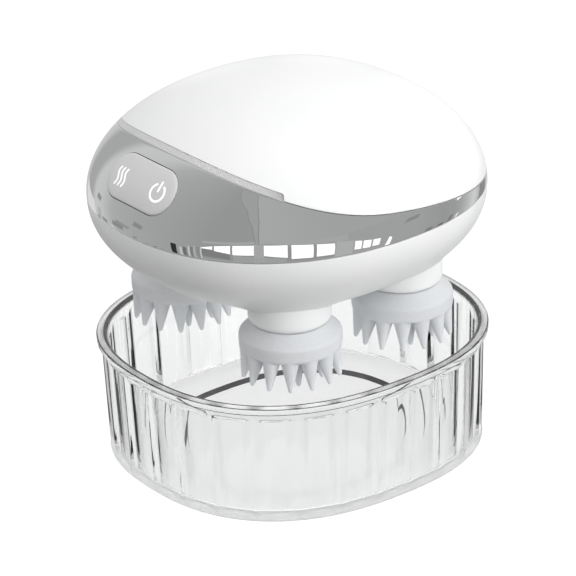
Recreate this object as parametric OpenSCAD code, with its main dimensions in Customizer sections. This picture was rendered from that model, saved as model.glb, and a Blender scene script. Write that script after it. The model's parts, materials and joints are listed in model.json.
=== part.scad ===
// Cordless scalp massager with four turning silicone heads and a clear faceted cup.
// Millimetres, +Z up. The cup stands on z = 0 and its centre is the origin. The massager
// is drawn lifted off the cup, with its button panel facing -Y.

/* [Body] */
// Width of the body across the button panel
body_width = 100; // [90:1:110]
// Length of the body from the button panel to the back
body_length = 104; // [94:1:114]
// Squareness of the oval seen from above, 2 is an ellipse
body_fullness = 2.2; // [2:0.05:2.6]
// Height of the dome above the widest line
dome_height = 30; // [26:1:36]
// Roundness of the dome seen from the side, 2 is an ellipse
dome_power = 2; // [1.9:0.05:2.2]
// Depth of the belly below the widest line
belly_depth = 26; // [24:1:30]
// Roundness of the belly seen from the side
belly_power = 2.2; // [2:0.05:2.5]
// Depth at which the belly ends in a flat
flat_depth = 23.3; // [22.8:0.1:23.6]
// Wall of the two white shells
shell_wall = 2; // [1.6:0.1:2.4]

/* [Mirror band] */
// Height of the band at the back
band_back_height = 1.1; // [1:0.1:3]
// Steady climb of the band's upper edge from the back to the front
band_climb = 12.2; // [9:0.2:14]
// Extra climb of that edge above the button panel
band_rise = 16.6; // [13:0.2:18]
// How late the extra climb starts, 2 is a parabola
band_power = 2.4; // [2.2:0.05:2.8]
// Wall of the band
band_wall = 1.6; // [1.2:0.1:2]
// Width of the trim strip between the panel and the top shell
trim_width = 1.9; // [1.4:0.1:2.4]
// Angle from the middle of the panel to each end of the strip
trim_spread = 52.4; // [44:0.2:56]
// Depth of the strip's seat in the edge of the top shell
trim_depth = 0.9; // [0.7:0.1:1.2]
// Gap in the seams between the outer pieces
seam_gap = 0.15; // [0.1:0.05:0.3]

/* [Buttons] */
// Length of the capsule-shaped button pad
pad_length = 27.4; // [22:0.2:30]
// Width of the button pad
pad_width = 13.1; // [10.5:0.1:14]
// Distance of the middle of the pad behind the front of the body
pad_setback = 5.35; // [5:0.05:6.5]
// Gap around the pad
pad_gap = 0.3; // [0.2:0.05:0.5]
// How far the pad stands out of the panel
pad_proud = 0.35; // [0.2:0.05:0.6]
// Distance of each switch from the middle of the pad
switch_x = 8; // [7:0.5:9]
// Free travel between the pad's posts and the switches
switch_gap = 0.35; // [0.3:0.05:0.5]

/* [Massage heads] */
// Radius of a silicone head
head_radius = 13.5; // [12:0.5:14]
// Thickness of the head's disc
disc_height = 7.2; // [6.5:0.1:8]
// Length of a claw
claw_length = 8.4; // [7:0.1:9]
// Radius of a claw at its root
claw_root = 2.3; // [2:0.1:2.4]
// Radius of a claw at its tip
claw_tip = 0.65; // [0.5:0.05:0.8]
// Claws in the outer ring of a head
outer_claws = 14; // [12:1:15]
// Claws in the inner ring of a head
inner_claws = 7; // [5:1:8]
// Share of the body's half width at which the heads' axes stand
head_spread_x = 0.484; // [0.45:0.002:0.5]
// Share of the body's half length at which the heads' axes stand
head_spread_y = 0.357; // [0.34:0.002:0.38]
// Radius of the collar where it enters the body
collar_radius = 10.9; // [10:0.1:11.2]
// Height of collar seen between a head and the middle of the belly
collar_show = 2; // [1.5:0.1:3]

/* [Drive] */
// Teeth of the gear on each head's shaft
head_teeth = 26; // [22:1:28]
// Teeth of the drive gear that turns all four heads
drive_teeth = 35; // [32:1:38]
// Teeth of the wheel on top of the drive gear
wheel_teeth = 46; // [42:1:48]
// Teeth of the pinion that turns that wheel
pinion_teeth = 14; // [14:1:16]
// Teeth of the reduction gear's wheel
reduction_teeth = 48; // [46:1:50]
// Tooth size of the motor pinion and the reduction wheel
motor_module = 0.5; // [0.48:0.01:0.52]
// Play between meshing teeth
backlash = 0.12; // [0.08:0.01:0.2]
// Radius of a head's shaft
shaft_radius = 2; // [1.8:0.1:2.4]
// Running clearance of every shaft and axle
running = 0.05; // [0.03:0.01:0.08]
// Radius of the motor
motor_radius = 12.2; // [11:0.1:12.4]
// Length of the motor
motor_length = 18; // [14:0.5:19]

/* [Cup] */
// Height of the cup
cup_height = 33.6; // [31:0.2:36]
// How much narrower the cup is under its rim than the body
cup_inset_x = 5.2; // [4:0.1:7]
// How much shorter the cup is under its rim than the body
cup_inset_y = 4.6; // [3.4:0.1:7]
// How much narrower the cup is at its base
cup_taper_x = 2; // [1:0.2:6]
// How much shorter the cup is at its base
cup_taper_y = 2; // [1:0.2:6]
// Wall of the cup
cup_wall = 1.8; // [1.5:0.1:2]
// Floor of the cup
cup_floor = 2.2; // [1.8:0.1:3]
// Flat facets round the cup
cup_facets = 28; // [24:1:32]
// Room between the claws and the cup's floor once the massager is put back
claw_room = 2.2; // [1.5:0.1:3]
// How far the massager is lifted off the cup
lift = 29.1; // [27:0.1:29.1]

/* [Hidden] */
$fn = 48;

// Heights, from the cup's floor up
tip_z = cup_floor + claw_room + lift;
disc_z = tip_z + claw_length;
collar_z = disc_z + disc_height;
flat_z = collar_z + collar_show;
waist_z = flat_z + flat_depth;
hub_top_z = collar_z + 9.9;
end_play = 0.3;
roof_z = hub_top_z + 2 * end_play;
roof_thick = 2.6;
bush_flange = 0.9;
boss_foot_z = collar_z + 5.5;
gear_z = roof_z + roof_thick + bush_flange + end_play;
gear_thick = 4;
wheel_z = gear_z + gear_thick + 0.6;
wheel_thick = 2.8;
reduction_z = wheel_z + wheel_thick + 0.6;
reduction_thick = 2.6;
chassis_z = waist_z;
chassis_thick = 2.5;
deck_z = chassis_z + chassis_thick;

// Places seen from above
addendum = 0.8;
dedendum = 1.1;
head_x = head_spread_x * body_width / 2;
head_y = head_spread_y * body_length / 2;
head_bearing = atan2(head_y, head_x);
head_module = 2 * norm([head_x, head_y]) / (drive_teeth + head_teeth);
reduction_axle_radius = 1.25;
reduction_boss = 2.3;
reduction_x = -(head_module * (drive_teeth / 2 + addendum) + reduction_boss + 0.4);
wheel_module = -2 * reduction_x / (wheel_teeth + pinion_teeth);
motor_gap = motor_module * (reduction_teeth + pinion_teeth) / 2;
motor_bearing = -35;
motor_x = reduction_x + motor_gap * cos(motor_bearing);
motor_y = motor_gap * sin(motor_bearing);
screw_side = body_width / 2 - 12.5;
screw_front = 20 - body_length / 2;
screw_back = body_length / 2 - 11;
screw_places = [[0, screw_front], [-screw_side, 0], [screw_side, 0], [0, screw_back]];
screw_radius = 1.25;
screw_boss = 3;
screw_seat_z = waist_z - 8.5;
screw_head = 2.2;
screw_reach = 11;

// Facets of the curved shells
around = 96;
apex = 88;

// ---------- curves of the body ----------

// The point of an oval that is seen from its middle at heading t
function oval_point(a, b, full, t) =
    [cos(t), sin(t)] / pow(pow(abs(cos(t)) / a, full) + pow(abs(sin(t)) / b, full), 1 / full);

function oval(a, b, full, count) = [for (i = [0:count - 1]) oval_point(a, b, full, 360 * i / count)];

// How much the oval has shrunk at elevation e, for a side view of the given roundness
function shrink(e, power) = pow(1 - pow(sin(e), power), 1 / power);

// A point of the dome or of the belly, inset by the wall, at heading t and elevation e
function dome_point(t, e, inset) =
    let (p = oval_point(body_width / 2 - inset, body_length / 2 - inset, body_fullness, t),
         s = shrink(e, dome_power))
    [p.x * s, p.y * s, waist_z + (dome_height - inset) * sin(e)];

function belly_point(t, e, inset) =
    let (p = oval_point(body_width / 2 - inset, body_length / 2 - inset, body_fullness, t),
         s = shrink(e, belly_power))
    [p.x * s, p.y * s, waist_z - (belly_depth - inset) * sin(e)];

// Distance of a place from the middle, where 1 is the edge of the inset oval
function reach(x, y, inset) =
    pow(pow(abs(x) / (body_width / 2 - inset), body_fullness)
        + pow(abs(y) / (body_length / 2 - inset), body_fullness), 1 / body_fullness);

function dome_z(x, y, inset) =
    waist_z + (dome_height - inset) * pow(1 - pow(min(1, reach(x, y, inset)), dome_power), 1 / dome_power);

function belly_z(x, y, inset) = max(flat_z + inset,
    waist_z - (belly_depth - inset) * pow(1 - pow(min(1, reach(x, y, inset)), belly_power), 1 / belly_power));

// Height of the line where the mirror band ends and the top shell starts
function seam_z(y) =
    waist_z + band_back_height + band_climb * (0.5 - y / body_length)
        + band_rise * pow(max(0, -2 * y / body_length), band_power);

// Elevation of that line at heading t, found by halving towards it
function seam_elevation(t, e = 20, tries = 14) = tries == 0 ? e :
    let (p = dome_point(t, e, 0), target = asin(min(0.99, (seam_z(p.y) - waist_z) / dome_height)))
    seam_elevation(t, (e + target) / 2, tries - 1);

// Elevation reached from elevation e by going some millimetres up the dome
function climbed(t, e, way) =
    let (r = norm(oval_point(body_width / 2, body_length / 2, body_fullness, t)))
    e + way / norm([r * sin(e), dome_height * cos(e)]) * 180 / PI;

// ---------- helpers that make solids ----------

// Solid through a stack of rings with equally many points. It is closed by its first and
// last ring, or runs round from the last ring to the first when loop is true.
module loft(rings, loop = false) {
    n = len(rings[0]);
    m = len(rings);
    points = [for (ring = rings) each ring];
    walls = [for (k = [0:m - (loop ? 1 : 2)], i = [0:n - 1])
        let (a = k * n + i, b = k * n + (i + 1) % n, c = (k + 1) % m * n + (i + 1) % n, d = (k + 1) % m * n + i)
        each [[a, d, c], [a, c, b]]];
    caps = loop ? [] : [[for (i = [0:n - 1]) i], [for (i = [n - 1:-1:0]) (m - 1) * n + i]];
    polyhedron(points = points, faces = concat(walls, caps), convexity = 6);
}

function turn_ring(ring, z) = [for (p = ring) [p.x, p.y, z]];

module tube(r_out, r_in, z0, z1) {
    translate([0, 0, z0]) difference() {
        cylinder(r = r_out, h = z1 - z0);
        translate([0, 0, -1]) cylinder(r = r_in, h = z1 - z0 + 2);
    }
}

module disc(r, z0, z1) { translate([0, 0, z0]) cylinder(r = r, h = z1 - z0); }

module capsule(length, width) {
    translate([-(length - width) / 2, 0]) circle(d = width);
    translate([(length - width) / 2, 0]) circle(d = width);
    square([length - width, width], center = true);
}

// Puts what follows at the middle of the button pad, with +Z out of the panel
pad_y = pad_setback - body_length / 2;
pad_z = dome_z(0, pad_y, 0);
pad_tilt = 90 - atan(dome_z(0, pad_y + 0.5, 0) - dome_z(0, pad_y - 0.5, 0));
module on_panel() { translate([0, pad_y, pad_z]) rotate([90 - pad_tilt, 0, 0]) children(); }

module at_heads() { for (sx = [-1, 1], sy = [-1, 1]) translate([sx * head_x, sy * head_y, 0]) children(); }

module at_screws() { for (p = screw_places) translate([p.x, p.y, 0]) children(); }

// ---------- gears ----------

pressure = 20;
flank_steps = 4;

function roll_angle(r, base) = let (q = sqrt(max(0, pow(r / base, 2) - 1))) q * 180 / PI - atan(q);

// Half of a tooth's angle at radius r
function half_tooth(r, teeth, mod) =
    let (pitch = mod * teeth / 2, base = pitch * cos(pressure),
         at_pitch = 90 / teeth - backlash / 4 / pitch * 180 / PI)
    at_pitch + roll_angle(pitch, base) - roll_angle(max(r, base), base);

function gear_outline(teeth, mod) =
    let (pitch = mod * teeth / 2, tip = pitch + addendum * mod, root = pitch - dedendum * mod,
         foot = max(root + 0.05, pitch * cos(pressure)),
         radii = concat([root], [for (k = [0:flank_steps]) foot + (tip - foot) * k / flank_steps]))
    [for (tooth = [0:teeth - 1]) let (mid = 360 * tooth / teeth) each concat(
        [for (r = radii) let (a = mid - half_tooth(r, teeth, mod)) [r * cos(a), r * sin(a)]],
        [for (k = [len(radii) - 1:-1:0]) let (r = radii[k], a = mid + half_tooth(r, teeth, mod))
            [r * cos(a), r * sin(a)]])];

// Turn of a gear so that it meshes with one at the origin side that is turned by from
function mesh_turn(from, from_teeth, teeth, bearing) =
    bearing + 180 + 180 / teeth + (bearing - from) * from_teeth / teeth;

module toothed(teeth, mod, z0, thick) {
    translate([0, 0, z0]) linear_extrude(thick) polygon(gear_outline(teeth, mod));
}

drive_turn = 0;
reduction_turn = mesh_turn(drive_turn, wheel_teeth, pinion_teeth, 180);
motor_turn = mesh_turn(reduction_turn, reduction_teeth, pinion_teeth, motor_bearing);

// ---------- the cup ----------

cup_steps = 4;
cup_full = 2.4;
rim_lip = 1;
rim_height = 2;
rim_z = cup_height - rim_height;
foot_round = 1;

function cup_a(z) = (body_width - cup_inset_x - cup_taper_x * (1 - z / cup_height)) / 2;
function cup_b(z) = (body_length - cup_inset_y - cup_taper_y * (1 - z / cup_height)) / 2;

// Smooth ring of the cup, grown outwards by grow
function cup_ring(z, grow) =
    [for (i = [0:cup_facets * cup_steps - 1])
        let (p = oval_point(cup_a(z) + grow, cup_b(z) + grow, cup_full, 360 * i / cup_facets / cup_steps))
        [p.x, p.y, z]];

// The same ring with flat facets, cut no deeper than relief
function faceted_ring(z, relief, grow = 0) =
    let (ring = cup_ring(z, grow), n = len(ring))
    [for (i = [0:n - 1])
        let (k = floor(i / cup_steps) * cup_steps, u = (i - k) / cup_steps,
             flat = ring[k] * (1 - u) + ring[(k + cup_steps) % n] * u, dip = norm(flat - ring[i]))
        dip < 0.0001 ? ring[i] : ring[i] + (flat - ring[i]) * min(1, relief / dip)];

facet_top_z = rim_z - 2.6;

module clear_cup() {
    color([0.86, 0.88, 0.9, 0.35]) loft([
        faceted_ring(0, 1, -foot_round),
        faceted_ring(foot_round * 0.3, 1, -foot_round * 0.3),
        faceted_ring(foot_round, 1),
        faceted_ring(facet_top_z, 1),
        faceted_ring(facet_top_z + 0.9, 0.25),
        faceted_ring(facet_top_z + 1.7, 0.1),
        cup_ring(facet_top_z + 2.3, 0),
        cup_ring(rim_z, 0),
        cup_ring(rim_z + 0.3, rim_lip),
        cup_ring(cup_height - 0.6, rim_lip),
        cup_ring(cup_height, rim_lip - 0.7),
        cup_ring(cup_height, 0.6 - cup_wall),
        cup_ring(cup_height - 0.6, -cup_wall),
        cup_ring(cup_floor + 2, -cup_wall),
        cup_ring(cup_floor + 0.5, -cup_wall - 0.5),
        cup_ring(cup_floor, -cup_wall - 2)
    ]);
}

// ---------- outer shells ----------

belly_rows = 7;

module belly_solid(inset) {
    end = asin((waist_z - flat_z - inset) / (belly_depth - inset));
    top = inset > 0 ? [[for (i = [0:around - 1]) belly_point(360 * i / around, 0, inset) + [0, 0, 1]]] : [];
    loft(concat([for (k = [belly_rows:-1:0]) [for (i = [0:around - 1])
        belly_point(360 * i / around, end * k / belly_rows, inset)]], top));
}

well_gap = 0.4;
well_wall = 1.8;
seal_radius = shaft_radius + 2;
bush_radius = shaft_radius + 1.2;
shaft_boss = shaft_radius + 3.5;
axle_depth = 6.5;
insert_z = waist_z - 6.5;
insert_length = 13;
insert_width = 5.6;
insert_face = body_length / 2 * shrink(asin(6.5 / belly_depth), belly_power) - 0.4;

module insert_shape(grow, y0, y1) {
    translate([0, y1, insert_z]) rotate([90, 0, 0]) linear_extrude(y1 - y0)
        capsule(insert_length + 2 * grow, insert_width + 2 * grow);
}

module lower_shell() {
    color("whitesmoke") difference() {
        belly_solid(0);
        // inside, less what stands up in it
        difference() {
            belly_solid(shell_wall);
            at_heads() disc(collar_radius + well_gap + well_wall, flat_z - 5, roof_z + roof_thick);
            at_screws() disc(screw_boss, flat_z - 5, chassis_z);
            disc(shaft_radius + 2.5, flat_z - 5, gear_z - end_play);
            translate([reduction_x, 0, 0]) disc(reduction_boss, flat_z - 5, wheel_z - end_play);
        }
        // wells for the collars, each with a boss for its shaft
        at_heads() {
            difference() {
                disc(collar_radius + well_gap, flat_z - 5, roof_z);
                disc(shaft_boss, boss_foot_z, roof_z + 1);
            }
            disc(bush_radius, boss_foot_z - 1, roof_z + roof_thick + 1);
            disc(seal_radius, boss_foot_z - 1, boss_foot_z + 2);
        }
        at_screws() {
            disc(screw_radius + 0.2, flat_z - 5, chassis_z + 1);
            disc(screw_head + 0.2, flat_z - 5, screw_seat_z);
        }
        disc(shaft_radius, gear_z - axle_depth, gear_z + 1);
        translate([reduction_x, 0, 0]) disc(reduction_axle_radius, gear_z - axle_depth, wheel_z + 1);
        insert_shape(0.1, body_length / 2 - 9, body_length / 2 + 1);
    }
}

dome_rows = 8;

module top_shell() {
    skin = [for (k = [0:dome_rows]) [for (i = [0:around - 1])
        let (t = 360 * i / around, e = seam_elevation(t)) dome_point(t, e + (apex - e) * k / dome_rows, 0)]];
    lining = [for (k = [dome_rows - 1:-1:0]) [for (i = [0:around - 1])
        let (t = 360 * i / around, e = seam_elevation(t))
        dome_point(t, e + (apex - e) * k / (dome_rows - 1), shell_wall)]];
    color("white") difference() {
        union() {
            loft(concat(lining, skin));
            top_bosses();
        }
        trim_shape(0.05);
        at_screws() disc(screw_radius - 0.15, deck_z - 1, deck_z + screw_reach);
    }
}

// Bosses that hang from the dome down to the chassis. Their tops end inside the wall.
module top_bosses() {
    for (p = screw_places) {
        far = 1 + screw_boss / norm(p);
        top = dome_z(p.x * far, p.y * far, shell_wall) + shell_wall / 2;
        translate([p.x, p.y, 0]) disc(screw_boss, deck_z, top);
    }
}

trim_steps = 28;
trim_recess = 0.15;

// The trim strip, or with a gap the seat that is cut for it
module trim_shape(gap) {
    spread = trim_spread + gap / body_width * 360 / PI;
    outside = gap > 0 ? -1 : trim_recess;
    below = gap > 0 ? -1 : 0;
    loft([for (k = [0:trim_steps])
        let (t = -90 + spread * (2 * k / trim_steps - 1), e = seam_elevation(t),
             low = climbed(t, e, below), high = climbed(t, e, trim_width + gap))
        [dome_point(t, low, trim_depth + gap), dome_point(t, high, trim_depth + gap),
            dome_point(t, high, outside), dome_point(t, low, outside)]]);
}

module trim_strip() {
    color("gainsboro") trim_shape(0);
}

band_rows = 6;

module mirror_band() {
    seam_cut = asin(seam_gap / dome_height);
    outer = [for (k = [0:band_rows]) [for (i = [0:around - 1])
        let (t = 360 * i / around, e = seam_cut + (seam_elevation(t) - 2 * seam_cut) * k / band_rows)
        dome_point(t, e, 0)]];
    inner = [for (k = [band_rows:-2:0]) [for (i = [0:around - 1])
        let (t = 360 * i / around, e = seam_cut + (seam_elevation(t) - 2 * seam_cut) * k / band_rows)
        dome_point(t, e, band_wall)]];
    color("silver") difference() {
        loft(concat(inner, outer), loop = true);
        on_panel() translate([0, 0, -9]) linear_extrude(14) capsule(pad_length, pad_width);
    }
}

gasket_width = 1.2;
gasket_height = 1.6;

module case_gasket() {
    a = body_width / 2 - shell_wall - 0.2;
    b = body_length / 2 - shell_wall - 0.2;
    color("dimgray") translate([0, 0, waist_z - 0.6]) linear_extrude(gasket_height) difference() {
        polygon(oval(a, b, body_fullness, around));
        polygon(oval(a - gasket_width, b - gasket_width, body_fullness, around));
    }
}

// ---------- chassis and what it carries ----------

board_back = -8.2;
board_face = -7;
board_length = 32;
board_low = -6.2;
board_high = 6.8;
gusset_x = 12;
ear_reach = 15.5;
ear_bearing = 55;

module chassis_plate() {
    margin = band_wall + gasket_width + 1.2;
    color("lightgray") difference() {
        union() {
            translate([0, 0, chassis_z]) linear_extrude(chassis_thick)
                polygon(oval(body_width / 2 - margin, body_length / 2 - margin, body_fullness, around));
            // gussets behind the control board
            for (sx = [-1, 1]) intersection() {
                translate([sx * gusset_x - 1, -body_length / 2, chassis_z]) cube([2, 16, dome_height]);
                on_panel() translate([-20, board_low, board_back - 30])
                    cube([40, board_high - board_low - 1.5, 30]);
                translate([-20, -body_length, chassis_z]) cube([40, body_length, dome_height]);
            }
        }
        at_heads() disc(bush_radius, chassis_z - 1, deck_z + 1);
        at_screws() disc(screw_radius + 0.2, chassis_z - 1, deck_z + 1);
        disc(shaft_radius, chassis_z - 1, deck_z + 1);
        translate([reduction_x, 0, 0]) disc(reduction_axle_radius, chassis_z - 1, deck_z + 1);
        translate([motor_x, motor_y, 0]) {
            disc(motor_nose + 0.2, chassis_z - 1, deck_z + 1);
            rotate(ear_bearing) for (sx = [-1, 1]) translate([sx * ear_reach, 0, 0])
                disc(small_screw, deck_z - 2, deck_z + 1);
        }
        on_panel() for (sx = [-1, 1]) translate([sx * gusset_x, 0, board_back - 4])
            cylinder(r = small_screw * 0.6, h = 5);
        charge_board_slot();
    }
}

// Slot at the back edge of the chassis that the charging board stands in
module charge_board_slot() {
    translate([-9, charge_board_y - 0.1, chassis_z - 1]) cube([18, 10, chassis_thick + 2]);
}

small_screw = 1;

module small_screw_shape(length, head) {
    cylinder(r = small_screw - 0.05, h = length);
    translate([0, 0, length]) difference() {
        cylinder(r = head, h = 1.2);
        translate([0, 0, 0.5]) for (a = [0, 90]) rotate(a) translate([-head * 0.6, -0.25, 0])
            cube([head * 1.2, 0.5, 1]);
    }
}

module case_screws() {
    color("gray") at_screws() {
        disc(screw_radius - 0.2, screw_seat_z, deck_z + screw_reach - 1);
        difference() {
            disc(screw_head, screw_seat_z - 1.8, screw_seat_z);
            for (a = [0, 90]) rotate(a) translate([-1.3, -0.3, screw_seat_z - 2]) cube([2.6, 0.6, 1.2]);
        }
    }
}

plug_length = 3;

module screw_plugs() {
    color("whitesmoke") intersection() {
        belly_solid(0.15);
        for (p = screw_places) translate([p.x, p.y, belly_z(p.x, p.y, 0) + plug_length])
            mirror([0, 0, 1]) cylinder(r = screw_head + 0.1, h = 3 * plug_length);
    }
}

module lower_bushes() {
    color("goldenrod") at_heads() {
        tube(bush_radius, shaft_radius + running, boss_foot_z + 2, roof_z + roof_thick);
        tube(bush_radius + 1, shaft_radius + running, roof_z + roof_thick, gear_z - end_play);
    }
}

module upper_bushes() {
    color("goldenrod") at_heads() {
        tube(bush_radius, shaft_radius + running, chassis_z, deck_z);
        tube(bush_radius + 0.8, shaft_radius + running, chassis_z - 0.4, chassis_z);
    }
}

module shaft_seals() {
    color("dimgray") at_heads() {
        tube(seal_radius, seal_radius - 1, boss_foot_z + 0.2, boss_foot_z + 2);
        tube(seal_radius - 1, shaft_radius + running, boss_foot_z + 0.9, boss_foot_z + 1.4);
    }
}

module drive_axle() { color("silver") disc(shaft_radius, gear_z - axle_depth, deck_z); }

module reduction_axle() {
    color("silver") translate([reduction_x, 0, 0])
        disc(reduction_axle_radius, gear_z - axle_depth, deck_z);
}

motor_nose = 3;
motor_shaft_radius = 1;
ear_thick = 1.5;

module motor_can() {
    color("darkgray") translate([motor_x, motor_y, 0]) difference() {
        union() {
            translate([0, 0, deck_z]) rotate_extrude() polygon([[0, 0], [motor_radius, 0],
                [motor_radius, motor_length - 1.5], [motor_radius - 1.5, motor_length], [0, motor_length]]);
            disc(motor_nose, chassis_z + 0.5, deck_z);
            disc(4, deck_z, deck_z + motor_length + 1.2);
            rotate(ear_bearing) translate([0, 0, deck_z]) linear_extrude(ear_thick)
                capsule(2 * ear_reach + 5, 5);
        }
        disc(motor_shaft_radius + running, chassis_z, deck_z + motor_length - 3);
        rotate(ear_bearing) for (sx = [-1, 1]) translate([sx * ear_reach, 0, 0])
            disc(small_screw + 0.1, deck_z - 1, deck_z + ear_thick + 1);
    }
}

module motor_screws() {
    color("gray") translate([motor_x, motor_y, 0]) rotate(ear_bearing) for (sx = [-1, 1])
        translate([sx * ear_reach, 0, deck_z - 1.8]) small_screw_shape(ear_thick + 1.8, 1.8);
}

battery_x = 36;
battery_z = 9;
battery_front = motor_y + motor_radius + 4.7;
battery_back = screw_back - screw_boss - 4;
battery_y = battery_back - battery_front;
battery_mid = (battery_front + battery_back) / 2;
foam = 1;

module battery() {
    color("steelblue") translate([-battery_x / 2 + 1.5, battery_mid - battery_y / 2, deck_z + foam]) {
        cube([battery_x - 3, battery_y, battery_z]);
        for (sx = [0, 1]) translate([sx * (battery_x - 3), 0, battery_z / 2]) rotate([-90, 0, 0])
            scale([1.5 / (battery_z / 2), 1, 1]) cylinder(d = battery_z, h = battery_y);
    }
}

module battery_foam() {
    color("black") translate([-battery_x / 2 + 1, battery_mid - battery_y / 2 + 1, deck_z])
        cube([battery_x - 2, battery_y - 2, foam]);
}

strap_width = 8;
strap_thick = 0.8;

module battery_strap() {
    inner_x = battery_x / 2 + 0.3;
    inner_z = foam + battery_z + 0.2;
    color("lightgray") translate([0, battery_mid + strap_width / 2, deck_z]) rotate([90, 0, 0])
        linear_extrude(strap_width) difference() {
            polygon([[-inner_x - 3.5, 0], [inner_x + 3.5, 0], [inner_x + 3.5, strap_thick],
                [inner_x + strap_thick, strap_thick], [inner_x + strap_thick, inner_z + strap_thick],
                [-inner_x - strap_thick, inner_z + strap_thick], [-inner_x - strap_thick, strap_thick],
                [-inner_x - 3.5, strap_thick]]);
            translate([-inner_x, -1]) square([2 * inner_x, inner_z + 1]);
        }
}

// ---------- buttons and their board ----------

module control_board() {
    color("seagreen") on_panel() difference() {
        translate([-board_length / 2, board_low, board_back])
            cube([board_length, board_high - board_low, board_face - board_back]);
        for (sx = [-1, 1]) translate([sx * gusset_x, 0, board_back - 1]) cylinder(r = small_screw + 0.1, h = 4);
    }
}

module board_screws() {
    color("gray") on_panel() for (sx = [-1, 1]) translate([sx * gusset_x, 0, board_back - 3]) {
        cylinder(r = small_screw * 0.6 - 0.02, h = 3);
        translate([0, 0, 3]) cylinder(r = small_screw * 0.6 - 0.02, h = board_face - board_back);
        translate([0, 0, board_face - board_back + 3]) cylinder(r = 1.5, h = 0.9);
    }
}

switch_size = 4.5;
switch_height = 1.6;
plunger_height = 0.5;
post_foot = board_face + switch_height + plunger_height + switch_gap;

module tact_switches() {
    color("dimgray") on_panel() for (sx = [-1, 1]) translate([sx * switch_x, 0, board_face]) {
        translate([-switch_size / 2, -switch_size / 2, 0]) cube([switch_size, switch_size, switch_height]);
        cylinder(r = 1.1, h = switch_height + plunger_height);
    }
}

pin_radius = 0.75;
pin_height = -3.2;
ear_inner = 3.4;
ear_outer = 5.2;

module button_frame() {
    color("gainsboro") on_panel() difference() {
        union() {
            translate([-10.3, board_low + 0.8, board_face]) cube([20.6, board_high - board_low - 1.4, 0.8]);
            for (sy = [-1, 1]) translate([-1.8, sy > 0 ? ear_inner : -ear_outer, board_face])
                cube([3.6, ear_outer - ear_inner, pin_height + 1.4 - board_face]);
        }
        for (sx = [-1, 1]) translate([sx * switch_x, 0, board_face + 0.4])
            cube([switch_size + 0.4, switch_size + 0.4, 2], center = true);
        translate([0, ear_outer + 1, pin_height]) rotate([90, 0, 0])
            cylinder(r = pin_radius, h = 2 * ear_outer + 2);
    }
}

module button_pin() {
    color("silver") on_panel() translate([0, ear_outer, pin_height]) rotate([90, 0, 0])
        cylinder(r = pin_radius, h = 2 * ear_outer);
}

pad_rings = 4;
pad_points = 40;
pad_under = -2;

// Height of the panel above the pad's flat plane, at a along the pad and b up the slope
function panel_height(a, b, h = 0, tries = 8) = tries == 0 ? h :
    let (y = pad_y + b * sin(pad_tilt) - h * cos(pad_tilt), z = pad_z + b * cos(pad_tilt) + h * sin(pad_tilt))
    panel_height(a, b, h + (dome_z(a, y, 0) - z) * sin(pad_tilt), tries - 1);

// Point of the capsule's outline, with i running once round its points
function capsule_point(length, width, i) =
    let (a = 360 * (i + 0.5) / pad_points, side = cos(a) >= 0 ? 1 : -1)
    [side * (length - width) / 2 + width / 2 * cos(a), width / 2 * sin(a)];

module button_pad() {
    length = pad_length - 2 * pad_gap;
    width = pad_width - 2 * pad_gap;
    top = [for (k = [pad_rings:-1:0]) [for (i = [0:pad_points - 1])
        let (u = 0.04 + 0.96 * (1 - pow(1 - k / pad_rings, 1.3)), p = capsule_point(length, width, i) * u,
             round = k == pad_rings ? 0.25 : 0)
        [p.x, p.y, panel_height(p.x, p.y) + pad_proud - round]]];
    foot = [[for (i = [0:pad_points - 1]) let (p = capsule_point(length, width, i)) [p.x, p.y, pad_under - 1]]];
    color("gainsboro") on_panel() difference() {
        union() {
            loft(concat(foot, top));
            for (sx = [-1, 1]) translate([sx * switch_x, 0, post_foot])
                cylinder(r = 1.3, h = pad_under - post_foot);
            translate([-1.7, -ear_inner + 0.3, pin_height - 1.3])
                cube([3.4, 2 * ear_inner - 0.6, pad_under - pin_height + 1]);
        }
        // hollow above the ears of the frame
        for (sy = [-1, 1]) translate([-2.4, sy > 0 ? ear_inner - 0.3 : -ear_outer - 0.3, pad_under - 2])
            cube([4.8, ear_outer - ear_inner + 0.6, 2.6]);
        translate([0, width, pin_height]) rotate([90, 0, 0]) cylinder(r = pin_radius + running, h = 2 * width);
    }
}

// ---------- charging contacts at the back ----------

charge_board_y = insert_face - 6;
contact_radius = 1.2;
contact_x = 3.2;

module charge_insert() {
    color("lightgray") difference() {
        insert_shape(0, insert_face - 4.4, insert_face);
        for (sx = [-1, 1]) translate([sx * contact_x, insert_face + 1, insert_z]) rotate([90, 0, 0])
            cylinder(r = contact_radius, h = 8);
    }
}

module charge_contacts() {
    color("gold") for (sx = [-1, 1]) translate([sx * contact_x, insert_face - 4.4, insert_z]) rotate([-90, 0, 0])
        rotate_extrude() polygon([[0, 0], [contact_radius, 0], [contact_radius, 4.4], [0.9, 4.7], [0, 4.8]]);
}

module charge_board() {
    color("seagreen") translate([-8, charge_board_y, insert_z - 3.2])
        cube([16, 1.6, chassis_z + 1.5 - insert_z + 3.2]);
}

// ---------- gear train ----------

module drive_gear() {
    color("ivory") rotate(drive_turn) difference() {
        union() {
            toothed(drive_teeth, head_module, gear_z, gear_thick);
            disc(8, gear_z, wheel_z + wheel_thick);
            toothed(wheel_teeth, wheel_module, wheel_z, wheel_thick);
            disc(shaft_radius + 2, gear_z, chassis_z - end_play);
        }
        disc(shaft_radius + running, gear_z - 1, chassis_z + 1);
        // dished face between hub and teeth
        difference() {
            disc(drive_teeth * head_module / 2 - 3, gear_z - 1, gear_z + 1.2);
            disc(shaft_radius + 2.4, gear_z - 2, gear_z + 2);
        }
    }
}

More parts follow.
